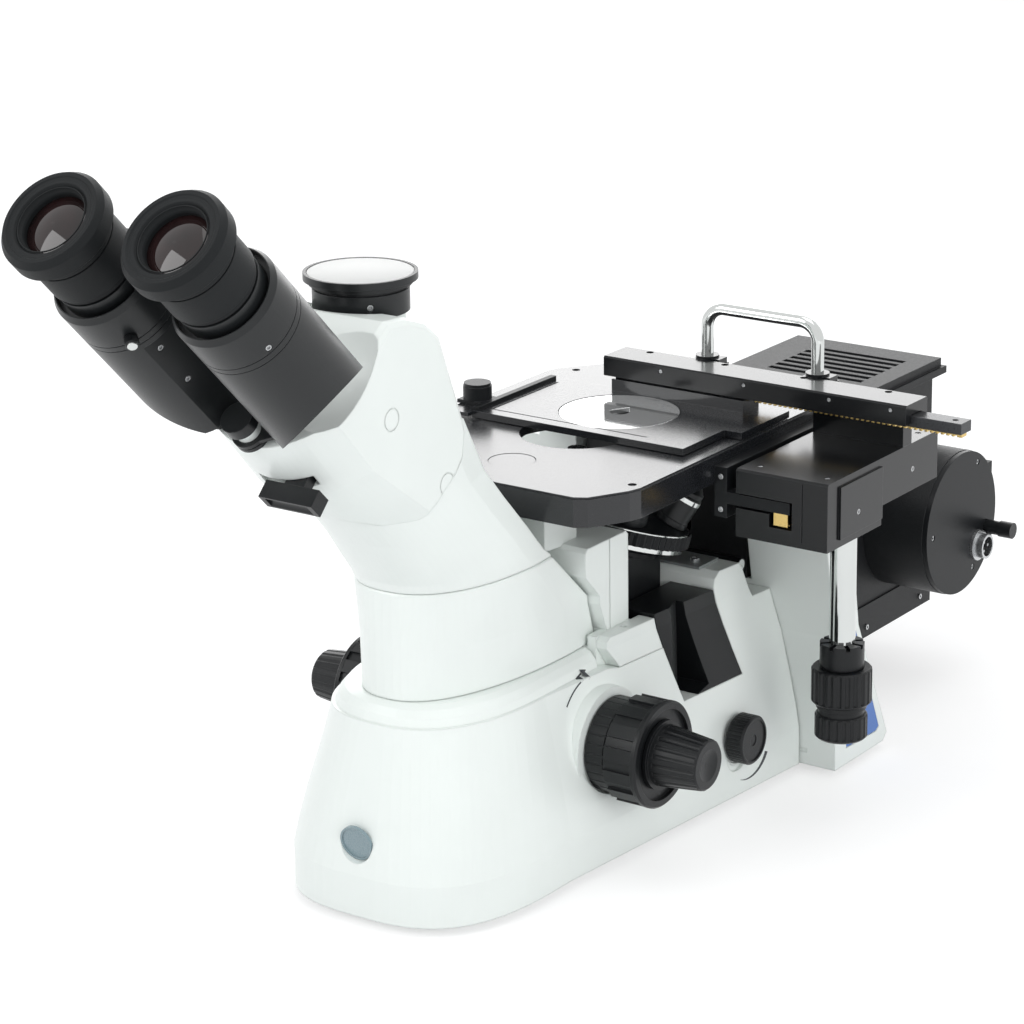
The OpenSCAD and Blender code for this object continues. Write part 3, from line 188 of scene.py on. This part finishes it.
def finish(name, colour, rough, metal=0.0, coat=0.0, grain=900.0, bump=0.05, mottle=0.04, vary=0.05,
           edge=0.0, edge_colour=None, edge_size=0.0005, stretch=None, specular=0.5, coat_rough=0.1,
           coat_ior=1.5):
    """Painted, moulded or bare surface: mottled colour, grain in bump and roughness, rounded worn edges."""
    mat, tree, bsdf = shader(name)
    put(bsdf, {"Metallic": metal, "Coat Weight": coat, "Coat Roughness": coat_rough, "Coat IOR": coat_ior,
               "Specular IOR Level": specular})
    fine = noise(tree, grain, detail=4.0, rough=0.6, stretch=stretch)
    low = [c * (1 - mottle) for c in colour]
    high = [min(1.0, c * (1 + mottle)) for c in colour]
    paint = mottled(tree, low, high, noise(tree, BROAD, detail=4.0))
    rounded = add(tree, "ShaderNodeBevel", {"Radius": edge_size})
    rounded.samples = EDGE_SAMPLES
    if edge > 0:
        paint = worn(tree, paint, rounded, edge, edge_colour)
    link(tree, paint, "Result", bsdf, "Base Color")
    link(tree, spread(tree, fine, rough - vary, rough + vary), "Result", bsdf, "Roughness")
    relief = add(tree, "ShaderNodeBump", {"Strength": bump, "Distance": GRAIN_DEPTH})
    link(tree, fine, 0, relief, "Height")
    link(tree, rounded, "Normal", relief, "Normal")
    link(tree, relief, "Normal", bsdf, "Normal")
    return mat


# Materials

WHITE = (0.83, 0.875, 0.845)
BLACK = (0.009, 0.010, 0.0112)
GREY_EDGE = (0.10, 0.105, 0.11)

enamel = finish("white_enamel", WHITE, 0.34, coat=0.25, coat_rough=0.2, grain=1400, bump=0.05,
                mottle=0.012, vary=0.04, edge_size=0.0012)
stage_black = finish("stage_black", (0.011, 0.012, 0.014), 0.26, coat=0.8, coat_rough=0.2, specular=0.18,
                     grain=2600, bump=0.04, mottle=0.1, edge=0.5, edge_colour=GREY_EDGE)
box_black = finish("box_black", (0.006, 0.0066, 0.0075), 0.34, coat=1.0, coat_rough=0.16, coat_ior=1.33,
                   specular=0.06, grain=2400, bump=0.04, mottle=0.08, edge=0.5, edge_colour=GREY_EDGE)
satin_black = finish("satin_black", BLACK, 0.38, coat=0.08, coat_rough=0.3, specular=0.16, grain=2200,
                     bump=0.08, mottle=0.08, edge=0.5, edge_colour=GREY_EDGE)
head_black = finish("head_black", (0.012, 0.0135, 0.0145), 0.36, coat=0.06, coat_rough=0.25,
                    specular=0.34, grain=2400, bump=0.05, mottle=0.06, edge=0.35, edge_colour=GREY_EDGE,
                    edge_size=0.0006)
moulded = finish("moulded_black", (0.008, 0.009, 0.010), 0.34, specular=0.3, grain=3200, bump=0.14,
                 mottle=0.08, edge=0.3, edge_colour=(0.07, 0.07, 0.075), edge_size=0.0004)
cup_rubber = finish("cup_rubber", (0.010, 0.0115, 0.0125), 0.55, specular=0.2, grain=2800, bump=0.2,
                    mottle=0.12, edge_size=0.0006)
foot_rubber = finish("foot_rubber", (0.018, 0.018, 0.02), 0.8, grain=1500, bump=0.4, mottle=0.2)
crackle = finish("lamp_black", (0.010, 0.0108, 0.012), 0.48, specular=0.28, grain=1100, bump=0.35,
                 mottle=0.1, edge=0.4, edge_colour=GREY_EDGE)
blue_paint = finish("blue_panel", (0.045, 0.16, 0.50), 0.35, coat=0.2, grain=1500, bump=0.08, mottle=0.04)
chrome = finish("chrome", (0.63, 0.65, 0.64), 0.09, metal=1.0, grain=500, bump=0.01, mottle=0.02,
                vary=0.03, edge_size=0.0003)
steel = finish("steel", (0.55, 0.56, 0.57), 0.3, metal=1.0, grain=900, bump=0.06, mottle=0.06, vary=0.08,
               edge_size=0.0003)
brass = finish("brass", (0.72, 0.52, 0.20), 0.28, metal=1.0, grain=1200, bump=0.08, mottle=0.08,
               vary=0.08, stretch=(1.0, 1.0, 4.0))
rail_steel = finish("rail_dark", (0.05, 0.052, 0.056), 0.3, metal=0.6, grain=1600, bump=0.05, mottle=0.1,
                    edge=0.5, edge_colour=(0.25, 0.25, 0.26))
sheet = finish("sheet_grey", (0.42, 0.45, 0.45), 0.35, metal=0.6, grain=700, bump=0.08, mottle=0.06)
insert_white = finish("insert_white", (0.90, 0.91, 0.91), 0.06, metal=0.85, grain=1500, bump=0.01,
                      mottle=0.01, vary=0.02)
board_green = finish("board", (0.02, 0.13, 0.06), 0.45, grain=500, bump=0.2, mottle=0.3)
ceramic = finish("ceramic", (0.75, 0.73, 0.66), 0.7, grain=900, bump=0.2, mottle=0.05)
badge_face = finish("badge_face", (0.20, 0.28, 0.31), 0.28, coat=0.6, grain=1500, bump=0.02, mottle=0.08,
                    edge=0.9, edge_colour=(0.30, 0.36, 0.38), edge_size=0.0004)
print_ink = finish("print_ink", (0.045, 0.05, 0.055), 0.5, grain=2600, bump=0.02, mottle=0.15)
inside_dark = finish("inside_dark", (0.008, 0.008, 0.009), 0.6, grain=1500, bump=0.1, mottle=0.2)


def coated_lens():
    """Dark eye lens with the warm tint of its coating, and a faint smear in its gloss."""
    mat, tree, bsdf = shader("coated_lens")
    put(bsdf, {"Coat Weight": 0.25, "Coat Roughness": 0.02, "IOR": 1.5})
    tint = mottled(tree, (0.006, 0.003, 0.003), (0.020, 0.008, 0.008), noise(tree, TINT))
    link(tree, tint, "Result", bsdf, "Base Color")
    link(tree, spread(tree, noise(tree, SMEAR), 0.02, 0.06), "Result", bsdf, "Roughness")
    return mat


lens_glass = coated_lens()
mirror = finish("mirror_glass", (0.85, 0.88, 0.9), 0.05, metal=1.0, grain=300, bump=0.004, mottle=0.02,
                vary=0.02)
cap_paper = finish("cap_paper", (0.63, 0.635, 0.625), 0.5, grain=1800, bump=0.05, mottle=0.03)

NODE_FINISH = {
    "base_casting": enamel, "side_covers": enamel, "neck_casting": enamel, "arm_casting": enamel,
    "head_casting": enamel, "rear_column": enamel, "stage_riser": enamel, "badge": badge_face,
    "side_panels": blue_paint, "rubber_feet": foot_rubber, "cover_plates": sheet,
    "circuit_board": board_green, "power_fittings": moulded, "power_rocker": moulded,
    "recess_liner": moulded, "stage_plate": stage_black, "stand_screws": steel,
    "guide_rail": satin_black, "y_rack": brass, "illuminator": crackle, "aperture_rod": satin_black,
    "lamp_body": crackle, "lamp_cover": crackle, "halogen_lamp": ceramic, "side_drum": crackle,
    "drum_plate": satin_black, "lamp_connector": steel, "centring_rod": moulded,
    "path_slider": moulded, "pivot_hub": head_black, "housing_right": head_black,
    "housing_left": head_black, "eyepiece_right": cup_rubber, "eyepiece_left": cup_rubber,
    "lens_right": lens_glass, "lens_left": lens_glass, "port_collar": head_black,
    "port_cap": head_black, "drive_box": box_black, "guide_bar": box_black, "handle": chrome,
    "x_rail": rail_steel, "x_rack": brass, "specimen_plate": stage_black, "stage_insert": insert_white,
    "specimen_clip": satin_black, "drive_tube": chrome, "drive_collar": moulded,
    "upper_knob": moulded, "lower_knob": moulded, "nosepiece_carrier": satin_black,
    "turret_body": satin_black, "turret_ring": satin_black, "turret_trim": chrome,
    "objectives": head_black, "relay_optics": mirror, "tension_ring": moulded,
    "coarse_knobs": moulded, "fine_knobs": moulded, "brightness_dial": moulded,
}


def dress_nodes():
    for name, ob in frame["nodes"].items():
        for slot in ob.material_slots:
            slot.material = NODE_FINISH[name]


# Places in the frame

def corners(node):
    """Lowest and highest corner of a node in mm."""
    low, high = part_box(node)
    return low / MM, high / MM


def centre(node):
    low, high = corners(node)
    return (low + high) / 2


def frame_at(point, towards):
    """Matrix at a point in mm whose Z axis points along towards."""
    turn = Vector(towards).to_track_quat("Z", "Y").to_matrix().to_4x4()
    return Matrix.Translation(Vector(point) * MM) @ turn


def move(x, y, z):
    return Matrix.Translation(Vector((x, y, z)) * MM)


# Mesh helpers

SMOOTH_BELOW = 35.0
ROUND_STEPS = 48
FINE_STEPS = 96


def place(name, verts, faces, mat, body, smooth=True, angle=SMOOTH_BELOW):
    """Piece that rides on a body: edges sharper than angle stay sharp."""
    mesh = bpy.data.meshes.new(name)
    mesh.from_pydata([tuple(v) for v in verts], [], faces)
    bm = bmesh.new()
    bm.from_mesh(mesh)
    bmesh.ops.recalc_face_normals(bm, faces=bm.faces)
    bm.to_mesh(mesh)
    bm.free()
    if smooth:
        mesh.polygons.foreach_set("use_smooth", [True] * len(mesh.polygons))
        mesh.set_sharp_from_angle(angle=math.radians(angle))
    mesh.materials.append(mat)
    ob = bpy.data.objects.new(name, mesh)
    bpy.context.scene.collection.objects.link(ob)
    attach(ob, body)
    return ob


def skin(rings, close=True):
    """Vertices and faces over rings with the same number of points, capped at both ends."""
    count = len(rings[0])
    verts = [p for ring in rings for p in ring]
    faces = []
    for j in range(len(rings) - 1):
        for i in range(count):
            k = (i + 1) % count
            faces.append((j * count + i, j * count + k, (j + 1) * count + k, (j + 1) * count + i))
    if close:
        faces.append(tuple(range(count)))
        faces.append(tuple((len(rings) - 1) * count + i for i in range(count)))
    return verts, faces


def hex_radius(r, angle):
    """Distance of a hexagon's edge from its middle, where r reaches its corners."""
    side = TURN / 6
    return r * math.cos(side / 2) / math.cos((angle % side) - side / 2)


def turn_points(at, r, z, steps, hexagon=False):
    """Points of one turn about the Z axis of the matrix at, with r and z in mm."""
    points = []
    for i in range(steps):
        angle = TURN * i / steps
        q = hex_radius(r, angle) if hexagon else r
        points.append(at @ Vector((q * MM * math.cos(angle), q * MM * math.sin(angle), z * MM)))
    return points


def lathe(name, profile, at, mat, body, steps=ROUND_STEPS):
    """Turned piece: profile holds (radius, height) in mm about the Z axis of the matrix at."""
    verts, faces = skin([turn_points(at, r, z, steps) for r, z in profile])
    return place(name, verts, faces, mat, body)


def disc(name, at, r, thick, chamfer, mat, body, steps=ROUND_STEPS):
    """Flat round piece with its top at the matrix origin; chamfer is how far its edge goes in and down."""
    inwards, down = chamfer
    return lathe(name, [(r, -thick), (r, -down), (r - inwards, 0.0)], at, mat, body, steps)


def ring(name, at, r, z, wide, high, mat, body, slot):
    """Thin raised band around the Z axis of the matrix at."""
    shoulder = high * 0.7
    section = [(0.0, -0.1), (0.1, shoulder), (0.3, high), (0.7, high), (0.9, shoulder), (1.0, -0.1)]
    rings = [turn_points(at, r + share * wide, z + h, FINE_STEPS) for share, h in section]
    verts, faces = skin(rings, close=False)
    return place(name, verts, faces, mat, body, angle=40.0)


# Radius, height above the seat, and depth of the seat below the surface, in mm
Screw = namedtuple("Screw", "radius height sink")
SCREW_ROOT = 0.6
SCREW_EDGE = 0.25
SOCKET_TOP = 0.62
SOCKET_R = 0.58
SOCKET_EDGE = 0.15
SOCKET_FLOOR = 0.25


def socket_screw(name, at, screw, body):
    """Cap screw with a rounded head and a hexagon socket, in the surface at the matrix origin."""
    r, height, sink = screw
    rings = []
    for radius, z, hexagon in [(r, -SCREW_ROOT, False), (r, height - SCREW_EDGE, False),
                               (r - SCREW_EDGE, height, False), (r * SOCKET_TOP, height, True),
                               (r * SOCKET_R, height - SOCKET_EDGE, True),
                               (r * SOCKET_R, height * SOCKET_FLOOR, True)]:
        rings.append(turn_points(at, radius, z - sink, ROUND_STEPS, hexagon))
    verts, faces = skin(rings)
    return place(name, verts, faces, steel, body, angle=30.0)


# Head details

# Flat of a prism housing: its distance from the tube's axis, and its direction about that axis
FLAT_DEPTH = 22.0
FLAT_TURN = {"right": 200.0, "left": -20.0}
# Screws of the flat, across it and along the tube
FLAT_SCREW_AT = ((6.0, 59.0), (6.5, 34.0))
FLAT_SCREW = Screw(1.55, 1.5, 1.6)
# Screws in the collar of each housing
COLLAR_TURN = {"right": -30.0, "left": -50.0}
COLLAR_HEIGHT = 76.0
COLLAR_SCREW = Screw(1.55, 1.3, 1.4)
THUMB_HEAD = ((1.5, -2.0), (1.5, 0.1), (2.9, 0.2), (3.2, 0.6), (3.2, 4.2), (2.9, 4.6))
THUMB_END = ((2.4, 4.4), (2.4, 5.0), (2.1, 5.4), (0.8, 5.5))
# Ribs in the sloping face of an eyecup: radius and width of each
CUP_RIBS = ((15.9, 0.7), (17.6, 0.6), (19.3, 0.5))
RIB_HIGH = 0.35
FIRST_RIB_BELOW = 1.9
RIB_STEP = 0.42
# Paper disc in the port cap
DISC_RIM = 1.9
DISC_BELOW = 0.1
DISC_THICK = 0.6
DISC_CHAMFER = (0.3, 0.2)


def eye_frame(tag):
    """Foot of an eyepiece tube, Z along the tube and X to the right."""
    joint = next(j for j in frame["joints"] if j["name"] == tag + "_dioptre")
    tilt = math.atan2(-joint["axis"][1], joint["axis"][2])
    return Matrix.Translation(joint["pos_m"]) @ Matrix.Rotation(tilt, 4, "X")


def wall_frame(tag, turn, depth, across, height):
    """Place on the wall of a housing, Z pointing out of the wall."""
    return (eye_frame(tag) @ Matrix.Rotation(math.radians(turn), 4, "Z")
            @ move(depth, across, height) @ Matrix.Rotation(math.radians(90), 4, "Y"))


def reach(node, at):
    """How far a node goes along the Z axis of the matrix at, in mm."""
    into = at.inverted()
    return max((into @ v.co).z for v in frame["nodes"][node].data.vertices) / MM


def tube_details(tag, side):
    for k, (across, height) in enumerate(FLAT_SCREW_AT):
        at = wall_frame(tag, FLAT_TURN[tag], FLAT_DEPTH, side * across, height)
        socket_screw("%s_flat_screw_%d" % (tag, k), at, FLAT_SCREW, tag + "_tube")
    at = eye_frame(tag)
    face = reach("eyepiece_" + tag, at)
    for k, (r, wide) in enumerate(CUP_RIBS):
        ring("%s_cup_rib_%d" % (tag, k), at, r, face - FIRST_RIB_BELOW + RIB_STEP * k, wide, RIB_HIGH,
             cup_rubber, tag + "_eyepiece", "black_anodised")


def head_details():
    tube_details("right", 1)
    tube_details("left", -1)
    housing_r = corners("housing_right")[1].x - centre("lens_right").x
    at = wall_frame("right", COLLAR_TURN["right"], housing_r, 0, COLLAR_HEIGHT)
    socket_screw("right_collar_screw", at, COLLAR_SCREW, "right_tube")
    at = wall_frame("left", COLLAR_TURN["left"], housing_r, 0, COLLAR_HEIGHT)
    lathe("left_thumb_screw", THUMB_HEAD, at, moulded, "left_tube")
    lathe("left_thumb_end", THUMB_END, at, chrome, "left_tube")
    cap = centre("port_cap")
    cap_high = corners("port_cap")[1]
    disc("port_disc", move(cap.x, cap.y, cap_high.z - DISC_BELOW), cap_high.x - cap.x - DISC_RIM,
         DISC_THICK, DISC_CHAMFER, cap_paper, "port_cover", steps=FINE_STEPS)


# Stage details

RAIL_SCREW = Screw(1.42, 1.2, 0.9)
RAIL_SCREW_IN = 3.5
RAIL_SCREW_BELOW_TOP = 5.0
RAIL_SCREW_OVER_FOOT = 4.0
BOX_SCREW = Screw(1.5, 1.3, 1.3)
# Screws in the side of the drive box: from its front, over its foot, and in from its raised cover
BOX_SIDE_SCREWS = ((29.0, 14.0, 0.0), (86.0, 21.0, 1.1))
BOX_TOP_SCREW = Screw(1.5, 1.3, 1.6)
# Screws in the top of the drive box, from its left and front side
BOX_TOP_SCREWS = ((8.0, 10.0), (8.0, 102.0), (46.0, 10.0), (46.0, 102.0))
BAR_SCREW = Screw(1.1, 1.0, 1.2)
BAR_SCREWS_X = (10.0, 60.0, 110.0, 145.0)
BAR_SCREW_BELOW_TOP = 5.0
LEDGE_SCREW = Screw(2.4, 1.5, 0.1)
LEDGE_SCREW_AT = (42.0, 108.0)
# Round plug in the front of the stage
PLUG_AT = (0.0, 5.0)
PLUG_R = 11.9
PLUG_THICK = 1.8
PLUG_BELOW = 0.15
PLUG_CHAMFER = (0.3, 0.25)
# White end of the aperture rod; it stands a hair proud, so that no two faces share a plane
ROD_END_R = 3.3
ROD_END_THICK = 0.8
ROD_END_PROUD = 0.02
ROD_END_CHAMFER = (0.4, 0.3)
# Dark core of the lamp connector
CORE_R = 5.4
CORE_THICK = 1.2
CORE_BELOW = 4.8
CORE_CHAMFER = (0.4, 0.2)


def stage_screws():
    low, high = corners("guide_rail")
    for k, z in enumerate((high.z - RAIL_SCREW_BELOW_TOP, low.z + RAIL_SCREW_OVER_FOOT)):
        at = frame_at((low.x + RAIL_SCREW_IN, low.y, z), FRONT)
        socket_screw("rail_screw_%d" % k, at, RAIL_SCREW, "stand")
    low, high = corners("drive_box")
    for k, (back, over, deep) in enumerate(BOX_SIDE_SCREWS):
        at = frame_at((high.x - deep, low.y + back, low.z + over), RIGHT)
        socket_screw("box_screw_%d" % k, at, BOX_SCREW, "y_carriage")
    for k, (right, back) in enumerate(BOX_TOP_SCREWS):
        at = frame_at((low.x + right, low.y + back, high.z), UP)
        socket_screw("box_top_screw_%d" % k, at, BOX_TOP_SCREW, "y_carriage")
    low, high = corners("guide_bar")
    for k, x in enumerate(BAR_SCREWS_X):
        at = frame_at((x, low.y, high.z - BAR_SCREW_BELOW_TOP), FRONT)
        socket_screw("bar_screw_%d" % k, at, BAR_SCREW, "y_carriage")


def stage_details():
    stage_screws()
    stage_top = corners("stage_plate")[1].z
    disc("stage_plug", move(*PLUG_AT, stage_top - PLUG_BELOW), PLUG_R, PLUG_THICK, PLUG_CHAMFER,
         stage_black, "stand", steps=FINE_STEPS)
    plate_top = corners("cover_plates")[1].z
    socket_screw("ledge_screw", frame_at((*LEDGE_SCREW_AT, plate_top), UP), LEDGE_SCREW, "stand")
    rod = centre("aperture_rod")
    at = frame_at((corners("aperture_rod")[1].x + ROD_END_PROUD, rod.y, rod.z), RIGHT)
    disc("rod_end", at, ROD_END_R, ROD_END_THICK, ROD_END_CHAMFER, insert_white, "aperture")
    plug = centre("lamp_connector")
    at = frame_at((corners("lamp_connector")[1].x - CORE_BELOW, plug.y, plug.z), RIGHT)
    disc("connector_core", at, CORE_R, CORE_THICK, CORE_CHAMFER, inside_dark, "stand")


# Prints on the right wall of the base

# An arc of print: radius, first and last angle in degrees, first and last width, steps
Arc = namedtuple("Arc", "radius start end start_width end_width steps")
TURN_ARC = Arc(36.0, 136.0, 100.0, 0.9, 0.9, 24)
TURN_ARROW = Arc(36.0, 101.0, 93.0, 4.6, 0.1, 6)
DIMMER_WEDGE = Arc(17.5, -113.0, -25.0, 0.2, 2.6, 36)
# Middle of the wedge from the middle of the dial, back and up
WEDGE_SHIFT = (8.0, -8.0)
# Rays go left from here, and the ink lies this far off the wall, in metres
RAY_FROM = 0.2
INK_LIFT = 0.00006


def arc_strip(y0, z0, arc):
    """Pairs of (y, z) points on both sides of an arc whose middle is at (y0, z0)."""
    strip = []
    for i in range(arc.steps + 1):
        t = i / arc.steps
        angle = math.radians(arc.start + (arc.end - arc.start) * t)
        half = (arc.start_width + (arc.end_width - arc.start_width) * t) / 2
        inner = arc.radius - half
        outer = arc.radius + half
        strip.append(((y0 + inner * math.cos(angle), z0 + inner * math.sin(angle)),
                      (y0 + outer * math.cos(angle), z0 + outer * math.sin(angle))))
    return strip


def side_print(name, strip):
    """Ink laid on the base casting along a strip of pairs of (y, z) points in mm."""
    base = frame["nodes"]["base_casting"]
    tree = BVHTree.FromObject(base, bpy.context.evaluated_depsgraph_get())
    into = base.matrix_world.inverted()
    verts = []
    for pair in strip:
        for y, z in pair:
            start = into @ Vector((RAY_FROM, y * MM, z * MM))
            hit = tree.ray_cast(start, into.to_3x3() @ -Vector(RIGHT))
            verts.append(base.matrix_world @ (hit[0] + hit[1] * INK_LIFT))
    faces = [(2 * i, 2 * i + 2, 2 * i + 3, 2 * i + 1) for i in range(len(strip) - 1)]
    return place(name, verts, faces, print_ink, "stand", smooth=False)


def prints():
    focus = centre("coarse_knobs")
    side_print("turn_arc", arc_strip(focus.y, focus.z, TURN_ARC))
    side_print("turn_arrow", arc_strip(focus.y, focus.z, TURN_ARROW))
    dial = centre("brightness_dial")
    side_print("dimmer_wedge", arc_strip(dial.y + WEDGE_SHIFT[0], dial.z + WEDGE_SHIFT[1], DIMMER_WEDGE))


# Studio

PURE_WHITE = (1.0, 1.0, 1.0)
SKY = (0.97, 0.985, 1.0)
SKY_STRENGTH = 0.67
# Floor: its tone for light that falls on the object, its tone for the camera, and its own glow there
FLOOR_TONE = (0.78, 0.78, 0.79)
FLOOR_SEEN = (1.25, 1.25, 1.25)
FLOOR_GLOW = 0.55
FLOOR_HALF = 2.4
FLOOR_BELOW = 0.0003
# Point that the lamps are aimed at
LAMP_TARGET = (0.0, 0.05, 0.15)
# Lamps: name, place and size in metres, power in watts, and whether gloss shows them
Lamp = namedtuple("Lamp", "name at size power glossy")
LAMPS = [
    Lamp("key", (-1.3, -2.2, 1.7), 1.5, 24.5, True),
    Lamp("side", (2.3, -0.9, 0.95), 1.3, 21.0, False),
    Lamp("top", (0.2, 0.2, 2.3), 1.6, 8.0, True),
    Lamp("back", (-2.05, 3.1, 1.25), 3.6, 75.0, True),
]


def seen_rays(tree):
    """1 for camera, glossy and transmitted rays, 0 for the rays that light the object."""
    path = tree.nodes.new("ShaderNodeLightPath")
    first = tree.nodes.new("ShaderNodeMath")
    first.operation = "MAXIMUM"
    link(tree, path, "Is Camera Ray", first, 0)
    link(tree, path, "Is Glossy Ray", first, 1)
    both = tree.nodes.new("ShaderNodeMath")
    both.operation = "MAXIMUM"
    link(tree, first, "Value", both, 0)
    link(tree, path, "Is Transmission Ray", both, 1)
    return both


def shader_mix(tree, factor, first, second, output):
    """Mixes two shaders into the socket Surface of the named output node."""
    mix = tree.nodes.new("ShaderNodeMixShader")
    link(tree, factor, "Value", mix, "Fac")
    link(tree, first, 0, mix, 1)
    link(tree, second, 0, mix, 2)
    link(tree, mix, 0, tree.nodes[output], "Surface")


def sky():
    """Even light all round, and white behind the object."""
    world = bpy.data.worlds.new("studio")
    bpy.context.scene.world = world
    world.use_nodes = True
    tree = world.node_tree
    light = tree.nodes["Background"]
    put(light, {"Color": rgba(SKY), "Strength": SKY_STRENGTH})
    seen = add(tree, "ShaderNodeBackground", {"Color": rgba(PURE_WHITE), "Strength": 1.0})
    shader_mix(tree, seen_rays(tree), light, seen, "World Output")


def floor_paper():
    """Matt floor that keeps the shadow and is white where nothing shades it."""
    mat, tree, bsdf = shader("floor")
    tree.nodes.remove(bsdf)
    matt = tree.nodes.new("ShaderNodeBsdfDiffuse")
    tone = colour_mix(tree)
    put(tone, {"A": rgba(FLOOR_TONE), "B": rgba(FLOOR_SEEN)})
    link(tree, seen_rays(tree), "Value", tone, "Factor")
    link(tree, tone, "Result", matt, "Color")
    glow = add(tree, "ShaderNodeEmission", {"Color": rgba(PURE_WHITE), "Strength": 1.0})
    share = tree.nodes.new("ShaderNodeMath")
    share.operation = "MULTIPLY"
    share.inputs[1].default_value = FLOOR_GLOW
    link(tree, seen_rays(tree), "Value", share, 0)
    shader_mix(tree, share, matt, glow, "Material Output")
    return mat


def lay_floor():
    mesh = bpy.data.meshes.new("floor")
    signs = ((-1, -1), (1, -1), (1, 1), (-1, 1))
    mesh.from_pydata([(x * FLOOR_HALF, y * FLOOR_HALF, 0) for x, y in signs], [], [(0, 1, 2, 3)])
    mesh.materials.append(floor_paper())
    floor = bpy.data.objects.new("floor", mesh)
    floor.location.z = -FLOOR_BELOW
    bpy.context.scene.collection.objects.link(floor)


def softbox(lamp):
    data = bpy.data.lights.new(lamp.name, "AREA")
    data.shape = "SQUARE"
    data.size = lamp.size
    data.energy = lamp.power
    ob = bpy.data.objects.new(lamp.name, data)
    ob.location = lamp.at
    ob.rotation_mode = "QUATERNION"
    ob.rotation_quaternion = (Vector(LAMP_TARGET) - Vector(lamp.at)).to_track_quat("-Z", "Y")
    ob.visible_camera = False
    ob.visible_glossy = lamp.glossy
    bpy.context.scene.collection.objects.link(ob)


def studio():
    bpy.context.scene.view_settings.view_transform = "Standard"
    sky()
    lay_floor()
    for lamp in LAMPS:
        softbox(lamp)


make_camera()
dress_nodes()
head_details()
stage_details()
prints()
studio()
